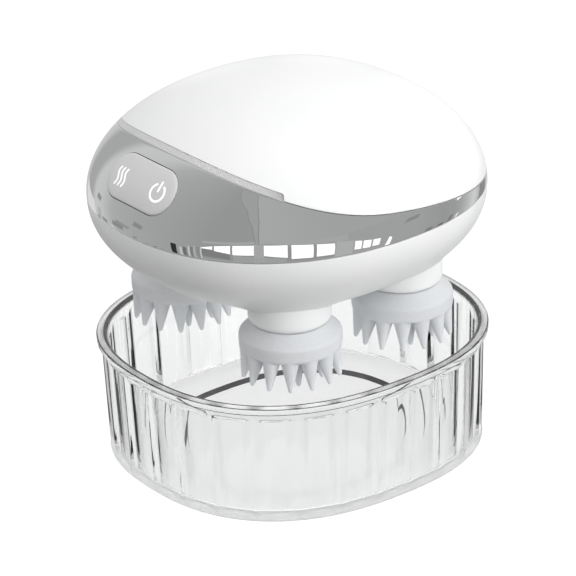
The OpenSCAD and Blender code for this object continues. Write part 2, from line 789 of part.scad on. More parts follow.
module reduction_gear() {
    color("ivory") translate([reduction_x, 0, 0]) rotate(reduction_turn) difference() {
        union() {
            toothed(pinion_teeth, wheel_module, wheel_z, reduction_z - wheel_z);
            toothed(reduction_teeth, motor_module, reduction_z, reduction_thick);
            disc(reduction_axle_radius + 1.6, wheel_z, chassis_z - end_play);
        }
        disc(reduction_axle_radius + running, wheel_z - 1, chassis_z + 1);
        for (a = [0:60:300]) rotate(a) translate([8, 0, 0]) disc(2, reduction_z - 1, reduction_z + 5);
    }
}

module motor_shaft() {
    color("silver") translate([motor_x, motor_y, 0])
        disc(motor_shaft_radius, reduction_z - 0.3, deck_z + motor_length - 3.5);
}

module motor_pinion() {
    color("goldenrod") translate([motor_x, motor_y, 0]) rotate(motor_turn) difference() {
        toothed(pinion_teeth, motor_module, reduction_z - 0.2, reduction_thick + 0.4);
        disc(motor_shaft_radius, reduction_z - 1, reduction_z + 5);
    }
}

// ---------- the massage heads ----------

neck_radius = 8.2;
flange_radius = 9;
flange_z = disc_z + 2.3;
shoulder_radius = 9.5;

// A claw is a cone leaned out until its outer edge is upright
module claw(ring_radius, root) {
    lean = atan((root - claw_tip) / claw_length);
    translate([ring_radius, 0, disc_z + 0.6]) rotate([0, 180 - lean, 0]) rotate_extrude($fn = 24)
        polygon([[0, 0], [root, 0], [claw_tip, claw_length], [claw_tip * 0.75, claw_length + 0.35],
            [0, claw_length + 0.5]]);
}

module head(outline_only = false) {
    color("aliceblue") {
        rotate_extrude() polygon(concat(
            [[0, disc_z], [head_radius - 0.8, disc_z], [head_radius - 0.2, disc_z + 0.5]],
            [for (a = [0:15:90]) [shoulder_radius + (head_radius - shoulder_radius) * cos(a),
                disc_z + 1.3 + (disc_height - 1.3) * sin(a)]],
            [[neck_radius, collar_z], [neck_radius, collar_z - 1.7], [flange_radius, collar_z - 1.7],
                [flange_radius, flange_z], [0, flange_z]]));
        for (i = [0:outer_claws - 1]) rotate(360 * (i + 0.5) / outer_claws)
            claw(head_radius - claw_root, claw_root);
        for (i = [0:inner_claws - 1]) rotate(360 * (i + 0.5) / inner_claws)
            claw(head_radius - claw_root - 3.6, claw_root - 0.3);
    }
}

module hub() {
    cavity = shaft_boss + 0.8;
    color("aliceblue") rotate_extrude() polygon(concat(
        [[shaft_radius, flange_z], [flange_radius - 0.05, flange_z], [flange_radius - 0.05, collar_z - 1.75],
            [neck_radius - 0.05, collar_z - 1.75], [neck_radius - 0.05, collar_z + 0.05]],
        [for (a = [0:30:90]) [collar_radius - 1.3 + 1.3 * sin(a), collar_z + 0.05 + 1.3 * (1 - cos(a))]],
        [[collar_radius, hub_top_z - 0.4], [collar_radius - 0.4, hub_top_z],
            [cavity, hub_top_z], [cavity, boss_foot_z - 0.8], [shaft_radius, boss_foot_z - 0.8]]));
}

module shaft() { color("silver") disc(shaft_radius, flange_z, deck_z - 0.1); }

// The hub of a head's gear stays clear of the reduction wheel that turns beside it
gear_hub = min(shaft_radius + 1.8,
    norm([head_x + reduction_x, head_y]) - motor_module * (reduction_teeth / 2 + addendum) - 0.4);

module head_gear(bearing) {
    color("ivory") rotate(mesh_turn(drive_turn, drive_teeth, head_teeth, bearing)) difference() {
        union() {
            toothed(head_teeth, head_module, gear_z, gear_thick);
            disc(gear_hub, gear_z, chassis_z - 0.4 - end_play);
        }
        disc(shaft_radius, gear_z - 1, chassis_z + 1);
        difference() {
            disc(head_teeth * head_module / 2 - 2.6, gear_z + gear_thick - 1.2, gear_z + gear_thick + 1);
            disc(shaft_radius + 2.6, gear_z, gear_z + gear_thick + 2);
        }
    }
}

// Each head's name, side and end of the body
module place(sx, sy) { translate([sx * head_x, sy * head_y, 0]) children(); }

module massage_head(name, sx, sy, bearing) {
    place(sx, sy) head();
    place(sx, sy) hub();
    place(sx, sy) shaft();
    place(sx, sy) head_gear(bearing);
}

clear_cup();
lower_shell();
top_shell();
trim_strip();
mirror_band();
chassis_plate();
case_gasket();
case_screws();
screw_plugs();
lower_bushes();
upper_bushes();
shaft_seals();
drive_axle();
reduction_axle();
motor_can();
motor_screws();
battery();
battery_foam();
battery_strap();
control_board();
board_screws();
tact_switches();
button_frame();
button_pin();
charge_insert();
charge_contacts();
charge_board();
button_pad();
drive_gear();
reduction_gear();
motor_shaft();
motor_pinion();
massage_head("front_right", 1, -1, -head_bearing);
massage_head("front_left", -1, -1, 180 + head_bearing);
massage_head("back_left", -1, 1, 180 - head_bearing);
massage_head("back_right", 1, 1, head_bearing);
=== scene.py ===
# %% [markdown]
# # A cordless scalp massager over its clear cup
#
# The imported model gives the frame: every piece at its real size and place. This notebook
# dresses it. The shells, the mirror band, the silicone heads and the cup are made again as
# smooth meshes that stand for their plain solids, and each finish is a procedural material.

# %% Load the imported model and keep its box
import json
import math
from functools import lru_cache

import bmesh
import bpy
from mathutils import Matrix, Vector


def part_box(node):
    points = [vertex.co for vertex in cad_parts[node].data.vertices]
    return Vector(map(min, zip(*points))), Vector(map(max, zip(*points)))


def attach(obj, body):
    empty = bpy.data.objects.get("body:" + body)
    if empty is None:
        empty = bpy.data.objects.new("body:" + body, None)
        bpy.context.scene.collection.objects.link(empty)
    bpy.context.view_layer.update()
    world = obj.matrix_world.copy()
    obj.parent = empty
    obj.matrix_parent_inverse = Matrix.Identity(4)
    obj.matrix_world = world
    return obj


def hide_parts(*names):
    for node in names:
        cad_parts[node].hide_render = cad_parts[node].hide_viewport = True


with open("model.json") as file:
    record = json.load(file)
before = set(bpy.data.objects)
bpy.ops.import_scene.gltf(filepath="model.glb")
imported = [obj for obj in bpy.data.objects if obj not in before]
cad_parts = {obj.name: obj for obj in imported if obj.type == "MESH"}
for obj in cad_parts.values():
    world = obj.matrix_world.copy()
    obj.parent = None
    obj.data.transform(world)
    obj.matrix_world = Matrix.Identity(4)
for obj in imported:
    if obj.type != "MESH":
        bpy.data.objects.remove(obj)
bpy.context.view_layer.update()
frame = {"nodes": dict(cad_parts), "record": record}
MM = 0.001
print("the packed model has", len(frame["nodes"]), "nodes")

# %% [markdown]
# The camera comes first, because everything else is judged through it. It stands to the
# right of the button panel and looks down a little, through a long lens, so that the oval
# body keeps its true proportions.

# %% Camera
VIEW_HEADING = math.radians(53.61)
VIEW_HEIGHT = math.radians(24.63)
VIEW_ROLL = math.radians(-2.19)
VIEW_DISTANCE = 924.2
AIM_RIGHT = -0.78
AIM_UP = 43.78
LENS = 216.4

back = Vector((
    math.sin(VIEW_HEADING) * math.cos(VIEW_HEIGHT),
    -math.cos(VIEW_HEADING) * math.cos(VIEW_HEIGHT),
    math.sin(VIEW_HEIGHT),
))
right = Vector((math.cos(VIEW_HEADING), math.sin(VIEW_HEADING), 0))
up = back.cross(right)
tilted_right = right * math.cos(VIEW_ROLL) + up * math.sin(VIEW_ROLL)
tilted_up = up * math.cos(VIEW_ROLL) - right * math.sin(VIEW_ROLL)
place = right * AIM_RIGHT + Vector((0, 0, AIM_UP)) + back * VIEW_DISTANCE

camera = bpy.data.objects.new("camera", bpy.data.cameras.new("camera"))
bpy.context.scene.collection.objects.link(camera)
camera.data.lens = LENS
camera.data.sensor_width = 36
camera.data.clip_start = 0.01
camera.data.clip_end = 50
turn = Matrix((tilted_right, tilted_up, back)).transposed().to_4x4()
camera.matrix_world = Matrix.Translation(place * MM) @ turn
bpy.context.scene.camera = camera
print(f"camera {VIEW_DISTANCE:.0f} mm away, lens {LENS} mm")

# %% [markdown]
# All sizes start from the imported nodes. The body is one oval form cut in three: a white
# belly, a mirror band and a white dome. A few short formulas give any point of it, so the
# pieces meet exactly, however finely each one is divided.

# %% Sizes of the body, in millimetres
shell_low, shell_high = (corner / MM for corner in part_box("lower_shell"))
HALF_WIDTH = shell_high.x
HALF_LENGTH = shell_high.y
FULLNESS = 2.2
WAIST = shell_high.z
FLAT = shell_low.z
DOME_HEIGHT = 30
BELLY_DEPTH = 26
BELLY_POWER = 2.2
BAND_BACK = 1.1
BAND_CLIMB = 12.2
BAND_RISE = 16.6
BAND_POWER = 2.4
AROUND = 512
print(f"body {2 * HALF_WIDTH:.1f} by {2 * HALF_LENGTH:.1f} mm, waist at {WAIST:.1f} mm")

# %% [markdown]
# Every point of the body is found by its heading round the upright axis and its elevation.
# An oval that is a little fuller than an ellipse gives the plan, and the dome and the belly
# close over it. The seam line between band and dome climbs from the back to the panel.

# %% Formulas of the body
def oval(half_x, half_y, full, heading):
    """The point of an oval seen from its middle at a heading in degrees."""
    c, s = math.cos(math.radians(heading)), math.sin(math.radians(heading))
    reach = ((abs(c) / half_x) ** full + (abs(s) / half_y) ** full) ** (-1 / full)
    return Vector((c * reach, s * reach, 0))


def dome(heading, elevation, inset=0):
    """A point of the dome, drawn in by an inset."""
    flat = oval(HALF_WIDTH - inset, HALF_LENGTH - inset, FULLNESS, heading)
    e = math.radians(elevation)
    return flat * math.cos(e) + Vector((0, 0, WAIST + (DOME_HEIGHT - inset) * math.sin(e)))


def belly(heading, elevation, inset=0):
    """A point of the belly, whose elevation counts downwards."""
    flat = oval(HALF_WIDTH - inset, HALF_LENGTH - inset, FULLNESS, heading)
    s = math.sin(math.radians(elevation))
    shrink = (1 - s ** BELLY_POWER) ** (1 / BELLY_POWER)
    return flat * shrink + Vector((0, 0, WAIST - (BELLY_DEPTH - inset) * s))


def seam_height(y):
    """Height above the waist of the line where the band ends and the dome starts."""
    ahead = -y / (2 * HALF_LENGTH)
    climb = BAND_CLIMB * (0.5 + ahead) + BAND_RISE * max(0, 2 * ahead) ** BAND_POWER
    return BAND_BACK + climb


@lru_cache(None)
def seam_elevation(heading):
    """Elevation of that line, found by halving towards it."""
    e = 20
    for step in range(24):
        share = min(0.99, seam_height(dome(heading, e).y) / DOME_HEIGHT)
        e = (e + math.degrees(math.asin(share))) / 2
    return e


def climbed(heading, elevation, way):
    """Elevation reached by going some millimetres up the dome."""
    flat = oval(HALF_WIDTH, HALF_LENGTH, FULLNESS, heading).length
    e = math.radians(elevation)
    slant = math.hypot(flat * math.sin(e), DOME_HEIGHT * math.cos(e))
    return elevation + math.degrees(way / slant)


def panel_height(x, y):
    """Height of the dome over a place seen from above."""
    across, ahead = abs(x) / HALF_WIDTH, abs(y) / HALF_LENGTH
    reach = (across ** FULLNESS + ahead ** FULLNESS) ** (1 / FULLNESS)
    return WAIST + DOME_HEIGHT * math.sqrt(max(0, 1 - reach ** 2))


HEADINGS = [360 * i / AROUND for i in range(AROUND)]
print(f"the panel's upper edge is {seam_height(-HALF_LENGTH):.1f} mm above the waist")

# %% [markdown]
# A moulded shell is easiest to make as a stack of rings. `loft` starts from a circle, moves
# its vertices onto the first ring, then extrudes the loop of edges once for each next ring.
# A number kept on every vertex says which place in the ring it belongs to. The first and the
# last ring are drawn together to a pole, which closes the skin.

# %% From rings to a piece
def piece(name, mesh):
    """Turns a bmesh in millimetres into an object in metres whose faces point outwards."""
    bmesh.ops.remove_doubles(mesh, verts=mesh.verts, dist=1e-5)
    bmesh.ops.scale(mesh, vec=(MM,) * 3, verts=mesh.verts)
    bmesh.ops.recalc_face_normals(mesh, faces=mesh.faces)
    data = bpy.data.meshes.new(name)
    mesh.to_mesh(data)
    mesh.free()
    made = bpy.data.objects.new(name, data)
    bpy.context.scene.collection.objects.link(made)
    return made


def loft(name, rings, loop=False):
    """A skin through rings of points. The end rings become poles, or are joined in a loop."""
    mesh = bmesh.new()
    bmesh.ops.create_circle(mesh, segments=len(rings[0]), radius=1)
    order = mesh.verts.layers.int.new("order")
    for i, vert in enumerate(mesh.verts):
        vert[order] = i
        vert.co = rings[0][i]
    edges = first = list(mesh.edges)
    for ring in rings[1:]:
        made = bmesh.ops.extrude_edge_only(mesh, edges=edges)["geom"]
        edges = [g for g in made if isinstance(g, bmesh.types.BMEdge)]
        for vert in (g for g in made if isinstance(g, bmesh.types.BMVert)):
            vert.co = ring[vert[order]]
    if loop:
        bmesh.ops.bridge_loops(mesh, edges=first + edges)
    else:
        for ends in (first, edges):
            verts = list({v for e in ends for v in e.verts})
            middle = sum((v.co for v in verts), Vector()) / len(verts)
            bmesh.ops.pointmerge(mesh, verts=verts, merge_co=middle)
    return piece(name, mesh)


# %% [markdown]
# The dome is injection-moulded and lacquered gloss white. It could be a squashed sphere, but
# its edge has to follow the seam, so it is lofted. The rings run from inside the pole down
# the lining, round the rim with a small radius, and up the skin to the pole again.

# %% Top shell
SHELL_WALL = 2
DOME_ROWS = 56
LINING_ROWS = 10
EDGE = 0.25
EDGE_MIDDLE = 0.3
POLE = 89.9


def shell_row(share, inset=0, start=0.0):
    """A ring of the dome, from its rim at share 0 to its top at share 1."""
    rings = []
    for h in HEADINGS:
        low = climbed(h, seam_elevation(h), start)
        rings.append(dome(h, low + (POLE - low) * share, inset))
    return rings


lining = [shell_row(1 - k / LINING_ROWS, SHELL_WALL) for k in range(LINING_ROWS + 1)]
# a small rounded edge has one ring in its middle, drawn in by this share of its size
rim = [shell_row(0, EDGE), shell_row(0, EDGE_MIDDLE * EDGE, EDGE_MIDDLE * EDGE)]
skin = [shell_row(k / DOME_ROWS, 0, EDGE) for k in range(DOME_ROWS + 1)]
top_shell = loft("dome_shell", lining + rim + skin)
print("dome:", len(top_shell.data.polygons), "faces")

# %% [markdown]
# Holes and posts are easiest as plain tools that are cut out of a shell or joined to it, as
# the maker of a mould would do with pins. The Boolean modifiers are applied at once, so the
# mesh that is seen is the mesh that is kept.

# %% Pegs, cuts and joints
def peg(radius, low, high, x, y, sides=96):
    """An upright round tool."""
    mesh = bmesh.new()
    middle = Matrix.Translation((x, y, (low + high) / 2))
    bmesh.ops.create_cone(mesh, cap_ends=True, segments=sides, radius1=radius, radius2=radius,
                          depth=high - low, matrix=middle)
    return piece("peg", mesh)


def apply_changes(thing):
    """Makes the modifiers part of the mesh."""
    graph = bpy.context.evaluated_depsgraph_get()
    done = bpy.data.meshes.new_from_object(thing.evaluated_get(graph))
    thing.modifiers.clear()
    thing.data = done


def combine(thing, tools, way="DIFFERENCE"):
    """Takes the tools out of the thing, or joins them to it, and removes them."""
    for tool in tools:
        change = thing.modifiers.new("combine", "BOOLEAN")
        change.operation = way
        change.solver = "EXACT"
        change.object = tool
    apply_changes(thing)
    for tool in tools:
        bpy.data.objects.remove(tool)


# %% [markdown]
# Four bosses hang inside the dome for the case screws, as a moulder would add them to the
# tool. Each is a round peg from the chassis plate up into the wall of the dome, joined to it.

# %% Bosses for the case screws
SCREW_INSET = 12.5
SCREW_FRONT = 20
SCREW_BACK = 11
SCREW_BOSS = 3
SCREW_SIDES = 48
BOSS_FOOT = 2.5
BOSS_REACH = 1.08
SCREWS = [(0, SCREW_FRONT - HALF_LENGTH), (SCREW_INSET - HALF_WIDTH, 0),
          (HALF_WIDTH - SCREW_INSET, 0), (0, HALF_LENGTH - SCREW_BACK)]
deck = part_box("chassis_plate")[0].z / MM + BOSS_FOOT
bosses = [peg(SCREW_BOSS, deck, panel_height(x * BOSS_REACH, y * BOSS_REACH) - 1, x, y, SCREW_SIDES)
          for x, y in SCREWS]
combine(top_shell, bosses, "UNION")
print(len(SCREWS), "bosses, from", round(deck, 1), "mm up")

# %% [markdown]
# A strip is a bar: one section that is extruded along its length, and closed by a flat face
# at each end. Smooth shading then makes its long faces one surface. Edges where two faces
# meet at a clear angle stay hard, because there the real piece has an edge as well.

# %% Bars and smooth shading
def bar(name, sections):
    """A solid bar through sections of points, closed by a flat face at each end."""
    mesh = bmesh.new()
    bmesh.ops.create_circle(mesh, cap_ends=True, segments=len(sections[0]), radius=1)
    order = mesh.verts.layers.int.new("order")
    for i, vert in enumerate(mesh.verts):
        vert[order] = i
        vert.co = sections[0][i]
    cap = list(mesh.faces)
    first = True
    for section in sections[1:]:
        made = bmesh.ops.extrude_face_region(mesh, geom=cap, use_keep_orig=first)["geom"]
        first = False
        cap = [g for g in made if isinstance(g, bmesh.types.BMFace)]
        for vert in (g for g in made if isinstance(g, bmesh.types.BMVert)):
            vert.co = section[vert[order]]
    return piece(name, mesh)


def soften(thing, limit):
    """Smooth shading with hard edges only where two faces meet at more than limit degrees."""
    mesh = bmesh.new()
    mesh.from_mesh(thing.data)
    for face in mesh.faces:
        face.smooth = True
    for edge in mesh.edges:
        edge.smooth = len(edge.link_faces) == 2 and edge.calc_face_angle() < math.radians(limit)
    mesh.to_mesh(thing.data)
    mesh.free()
    return thing


# %% [markdown]
# Over the button panel a thin bar of light grey plastic is let into the rim of the dome, a
# hair lower than the lacquer. Its two upper corners are rounded off. One function gives the
# sections of the strip and, a little larger, of the tool that cuts its seat.

# %% Trim strip
STRIP_WIDTH = 1.9
STRIP_SPREAD = 52.4
STRIP_DEPTH = 0.9
STRIP_SINK = 0.15
STRIP_CORNER = 0.7
STRIP_STEPS = 160
STRIP_LAP = 0.14
STRIP_ROLL = 0.07
LEAST_STRIP = 0.4
SEAT_GAP = 0.05
SEAT_EXCESS = 1


def strip_sections(gap):
    """Sections of the strip from its left end to its right end, grown by a gap."""
    reach = HALF_WIDTH
    spread = STRIP_SPREAD + math.degrees(gap / reach)
    sections = []
    for k in range(STRIP_STEPS + 1):
        share = -math.cos(math.pi * k / STRIP_STEPS)
        heading = -90 + spread * share
        from_end = math.radians(spread * (1 - abs(share))) * reach
        lost = STRIP_CORNER - from_end
        drop = STRIP_CORNER - math.sqrt(STRIP_CORNER ** 2 - lost ** 2) if lost > 0 else 0
        e = seam_elevation(heading)
        low = climbed(heading, e, -SEAT_EXCESS if gap else -STRIP_LAP)
        high = climbed(heading, e, STRIP_WIDTH + gap - min(drop, STRIP_WIDTH * (1 - LEAST_STRIP)))
        roll = 0.0 if gap else STRIP_ROLL
        low_roll = climbed(heading, low, roll)
        high_roll = climbed(heading, high, -roll)
        face = -SEAT_EXCESS if gap else STRIP_SINK
        sections.append([
            dome(heading, low, STRIP_DEPTH + gap), dome(heading, high, STRIP_DEPTH + gap),
            dome(heading, high, face + roll), dome(heading, high_roll, face),
            dome(heading, low_roll, face), dome(heading, low, face + roll),
        ])
    return sections


trim_strip = soften(bar("trim_strip_grey", strip_sections(0)), 50)
combine(top_shell, [bar("strip_seat", strip_sections(SEAT_GAP))])
soften(top_shell, 35)
print("top shell:", len(top_shell.data.polygons), "faces, strip:", len(trim_strip.data.polygons))

# %% [markdown]
# The band is a chromed ring. A mirror shows every flaw of the mesh under it, so it gets
# many narrow rows, and its two edges are rolled over with a small radius. Its rings run up
# the outside and down the inside, so the last joins the first in a closed loop.

# %% Mirror band
BAND_WALL = 1.6
SEAM_GAP = 0.15
BAND_ROWS = 48
BAND_LINING = 6
ROLL = 0.06
BAND_END = 0.006


def band_row(share, inset):
    """A ring of the band, from its foot at share 0 to its upper edge at share 1."""
    gap = math.degrees(math.asin(SEAM_GAP / DOME_HEIGHT))
    return [dome(h, gap + (seam_elevation(h) - 2 * gap) * share, inset) for h in HEADINGS]


outer_shares = [BAND_END + (1 - 2 * BAND_END) * k / BAND_ROWS for k in range(BAND_ROWS + 1)]
outside = [band_row(share, 0) for share in outer_shares]
inside = [band_row(1 - k / BAND_LINING, BAND_WALL) for k in range(BAND_LINING + 1)]
top_roll = [band_row(1 - BAND_END / 4, EDGE_MIDDLE * ROLL), band_row(1, ROLL)]
foot_roll = [band_row(0, ROLL), band_row(BAND_END / 4, EDGE_MIDDLE * ROLL)]
mirror_band = loft("band_mirror", outside + top_roll + inside + foot_roll, loop=True)
print("band:", len(mirror_band.data.polygons), "faces")

# %% [markdown]
# The capsule-shaped pad lies in the plane of the panel. Its frame of reference is worked
# out from the panel's own slope: `out` points straight out of the panel, `slope` up it.

# %% Frame of the button pad
PAD_LENGTH = 27.4
PAD_WIDTH = 13.1
PAD_GAP = 0.18
PAD_PROUD = 0.35
PAD_SETBACK = 5.35
pad_y = PAD_SETBACK - HALF_LENGTH
rise = panel_height(0, pad_y + 0.5) - panel_height(0, pad_y - 0.5)
slope = Vector((0, 1, rise)).normalized()
out = Vector((0, -rise, 1)).normalized()
pad_frame = Matrix((Vector((1, 0, 0)), slope, out)).transposed().to_4x4()
pad_frame.translation = Vector((0, pad_y, panel_height(0, pad_y)))
print(f"the panel slopes up at {math.degrees(math.atan(rise)):.1f} degrees")


def over_panel(a, b, height):
    """The place a along and b up the panel, at a height over its curved surface."""
    h = 0
    for step in range(8):
        point = pad_frame @ Vector((a, b, h))
        h += (panel_height(point.x, point.y) - point.z) * out.z
    return pad_frame @ Vector((a, b, h + height))


# %% [markdown]
# The opening for the pad is cut straight through the band along `out`. `punch` makes such a
# tool. A loft draws its end rings to a pole, so a punch gives each of its ends twice.

# %% Opening for the button pad
OPENING_DEPTH = 9
OPENING_RISE = 5


def capsule(length, width, count=96):
    """Outline of a capsule as (along, up) pairs."""
    turns = [math.tau * (i + 0.5) / count for i in range(count)]
    return [(math.copysign((length - width) / 2, math.cos(t)) + width / 2 * math.cos(t),
             width / 2 * math.sin(t)) for t in turns]


def punch(name, outline_at, low, high):
    """A straight tool, from the outline at one place to the outline at another."""
    return loft(name, [outline_at(place) for place in (low - 0.5, low, high, high + 0.5)])


def capsule_at(height, gap=0):
    """The outline of the opening, drawn in by a gap, in a flat plane at a height."""
    return [pad_frame @ Vector((a, b, height))
            for a, b in capsule(PAD_LENGTH - 2 * gap, PAD_WIDTH - 2 * gap)]


combine(mirror_band, [punch("opening", capsule_at, -OPENING_DEPTH, OPENING_RISE)])
soften(mirror_band, 40)
print("band with its opening:", len(mirror_band.data.polygons), "faces")

# %% [markdown]
# The pad is one moulded rocker of satin grey plastic. Its rings follow the capsule outline:
# up the side wall, round a small edge that catches the light, and across the top, which
# copies the curve of the panel a third of a millimetre above it.

# %% Button pad
PAD_EDGE = 0.3
PAD_FOOT = -1.8
CAP_RINGS = 10


def pad_row(inset, height, share=1.0):
    """A ring of the pad: the outline drawn in by an inset, then shrunk to a share."""
    taken = 2 * (PAD_GAP + inset)
    return [over_panel(a * share, b * share, height)
            for a, b in capsule(PAD_LENGTH - taken, PAD_WIDTH - taken)]


# the lowest ring becomes the pole that closes the foot
pad_side = [capsule_at(PAD_FOOT - 0.1, PAD_GAP), capsule_at(PAD_FOOT, PAD_GAP)]
pad_side += [pad_row(0, PAD_PROUD - PAD_EDGE),
             pad_row(EDGE_MIDDLE * PAD_EDGE, PAD_PROUD - EDGE_MIDDLE * PAD_EDGE),
             pad_row(PAD_EDGE, PAD_PROUD)]
pad_top = [pad_row(PAD_EDGE, PAD_PROUD, 1 - k / CAP_RINGS) for k in range(1, CAP_RINGS)]
pad_top.append(pad_row(PAD_EDGE, PAD_PROUD, 0.01))
button_pad = soften(loft("pad_capsule", pad_side + pad_top), 40)
print("pad:", len(button_pad.data.polygons), "faces")

# %% [markdown]
# Pad printing lays a film of ink on a finished moulding. Here each stroke starts as a short
# edge that is extruded along the stroke, one step at a time, and narrows to a round end. It
# lies just proud of the pad and follows its curve.

# %% Strokes of ink
STROKE = 0.6
INK = 0.03
STROKE_STEP = 0.12


def finer(route):
    """The same route with places every step along it."""
    made = []
    for p, q in zip(route, route[1:]):
        count = max(1, round(math.dist(p, q) / STROKE_STEP))
        made += [tuple(Vector(p).lerp(Vector(q), k / count)) for k in range(count)]
    return made + [route[-1]]


def stroke_edges(route):
    """The two sides of a stroke at each place of its route, drawn in at its round ends."""
    total = sum(math.dist(p, q) for p, q in zip(route, route[1:]))
    walked = 0
    pairs = []
    for k, place in enumerate(route):
        if k:
            walked += math.dist(place, route[k - 1])
        before, after = route[max(0, k - 1)], route[min(len(route) - 1, k + 1)]
        along = Vector((after[0] - before[0], after[1] - before[1])).normalized()
        short = max(0, 1 - min(walked, total - walked) / (STROKE / 2))
        half = STROKE / 2 * math.sqrt(max(0.02, 1 - short ** 2))
        sideways = Vector((along.y, -along.x)) * half
        pairs.append([over_panel(place[0] + side * sideways.x, place[1] + side * sideways.y,
                                 PAD_PROUD + INK) for side in (-1, 1)])
    return pairs


def draw_stroke(mesh, route):
    """Adds a flat stroke that follows a route of (along, up) places on the pad."""
    pairs = stroke_edges(finer(route))
    left, right_side = (mesh.verts.new(point) for point in pairs[0])
    edge = mesh.edges.new((left, right_side))
    for pair in pairs[1:]:
        made = bmesh.ops.extrude_edge_only(mesh, edges=[edge])["geom"]
        fresh = [g for g in made if isinstance(g, bmesh.types.BMVert)]
        fresh.sort(key=lambda vert: not any(e.other_vert(vert) == left for e in vert.link_edges))
        left, right_side = fresh
        left.co, right_side.co = pair
        edge = mesh.edges.get((left, right_side))


# %% [markdown]
# The two signs are generic: three rising waves for the massage, and the usual power sign, a
# ring that is open at the top with an upright bar in it.

# %% Printed signs
WAVES_AT = -7.3
WAVE_PITCH = 1.6
WAVE_FOOT = -3.3
WAVE_TOP = 1.9
WAVE_SWAY = 0.5
WAVE_TURN = 2.5
WAVE_PHASE = 0.55
POWER_AT = 8.1
POWER_UP = -0.35
POWER_RADIUS = 2.35
POWER_OPEN = 27
POWER_BAR = (0.1, 3.25)


def arc(centre, radius, start, end, steps):
    """Points of an arc, as (along, up) pairs, between two angles in degrees."""
    angles = [math.radians(start + (end - start) * k / steps) for k in range(steps + 1)]
    x, z = centre
    return [(x + radius * math.cos(a), z + radius * math.sin(a)) for a in angles]


def wave(middle):
    """A line that rises from the foot to the top and sways about a middle."""
    ups = [WAVE_FOOT + (WAVE_TOP - WAVE_FOOT) * k / 40 for k in range(41)]
    return [(middle - WAVE_SWAY * math.sin(math.pi * (u + WAVE_PHASE) / WAVE_TURN), u) for u in ups]


signs = bmesh.new()
for n in (-1, 0, 1):
    draw_stroke(signs, wave(WAVES_AT + n * WAVE_PITCH))
draw_stroke(signs, arc((POWER_AT, POWER_UP), POWER_RADIUS, 90 + POWER_OPEN, 450 - POWER_OPEN, 60))
draw_stroke(signs, [(POWER_AT, POWER_UP + end) for end in POWER_BAR])
pad_signs = piece("pad_signs", signs)
print("signs:", len(pad_signs.data.polygons), "faces")

# %% [markdown]
# The belly is the lower half of the same oval, and its bottom is flat. Round each of the
# four wells the skin runs down in a short neck that is longest on its outer side, where the
# collar would show otherwise. A function lowers those points of the rings.

# %% Lower shell
BELLY_ROWS = 72
WELL_GAP = 0.4
NECK_DROP = 1.3
NECK_WIDTH = 5.5
NECK_INNER = 0.25
hub_low, hub_high = (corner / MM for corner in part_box("front_right_hub"))
COLLAR_RADIUS = (hub_high.x - hub_low.x) / 2
HUB_TOP = hub_high.z
HEAD_X = (hub_low.x + hub_high.x) / 2
HEAD_Y = -(hub_low.y + hub_high.y) / 2
HEADS = {
    "front_right": (HEAD_X, -HEAD_Y),
    "front_left": (-HEAD_X, -HEAD_Y),
    "back_left": (-HEAD_X, HEAD_Y),
    "back_right": (HEAD_X, HEAD_Y),
}
WELL_RADIUS = COLLAR_RADIUS + WELL_GAP


def necked(point):
    """The same point, lowered where it is close to a well, and most on its outer side."""
    axis = min(HEADS.values(), key=lambda place: math.dist(place, (point.x, point.y)))
    away = Vector((point.x - axis[0], point.y - axis[1]))
    share = min(1, max(0, (WELL_RADIUS + NECK_WIDTH - away.length) / NECK_WIDTH))
    outer = max(0, away.normalized().dot(Vector(axis).normalized()))
    drop = NECK_DROP * (NECK_INNER + (1 - NECK_INNER) * outer) * share * share
    return point - Vector((0, 0, drop))


def belly_row(share, inset=0):
    """A ring of the belly, from the waist at share 0 to the flat at share 1."""
    end = math.degrees(math.asin((WAIST - FLAT - inset) / (BELLY_DEPTH - inset)))
    return [belly(h, end * share, inset) for h in HEADINGS]


def flat_rows(ring, count):
    """Rings that close a flat bottom, each smaller than the one before."""
    return [[Vector((p.x * k / count, p.y * k / count, p.z)) for p in ring]
            for k in range(count - 1, 0, -1)]


belly_skin = [belly_row(k / BELLY_ROWS) for k in range(1, BELLY_ROWS + 1)]
belly_skin += flat_rows(belly_skin[-1], 24)
brim = [belly_row(0, EDGE), belly_row(0.001, EDGE_MIDDLE * EDGE), belly_row(0.004)]
lower_shell = loft("belly_shell", brim + [[necked(p) for p in ring] for ring in belly_skin])
print("belly:", len(lower_shell.data.polygons), "faces, four wells of", round(WELL_RADIUS, 1), "mm")

# %% [markdown]
# So far the belly is solid. Its inner space is a solid of its own, from which upright pegs
# are taken first: what is left of the belly there becomes the walls of the wells and the
# screw posts. Then this space, the wells, the screw holes and the seat of the charging
# contacts at the back are all cut out of the belly at once.

# %% Wells, screw posts and the seat of the charging contacts
WELL_WALL = 1.8
WELL_ROOF = 2.6
SCREW_BORE = 2.4
BORE_DEPTH = 8.5
UNDER = FLAT - 5
INSERT_GAP = 0.1
ROOF = HUB_TOP + 0.6
above = [p + Vector((0, 0, 1)) for p in belly_row(0, SHELL_WALL)]
hollow = loft("hollow", [above] + [belly_row(k / 12, SHELL_WALL) for k in range(13)])
combine(hollow, [peg(WELL_RADIUS + WELL_WALL, UNDER, ROOF + WELL_ROOF, x, y)
                 for x, y in HEADS.values()]
        + [peg(SCREW_BOSS, UNDER, WAIST, x, y, SCREW_SIDES) for x, y in SCREWS])
insert_low, insert_high = (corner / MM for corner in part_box("charge_insert"))
insert_size = insert_high - insert_low
insert_hole = capsule(insert_size.x + 2 * INSERT_GAP, insert_size.z + 2 * INSERT_GAP)
insert_middle = (insert_low.z + insert_high.z) / 2
seat = punch("seat", lambda y: [Vector((a, y, insert_middle + b)) for a, b in insert_hole],
             insert_low.y - 2, HALF_LENGTH + 1)
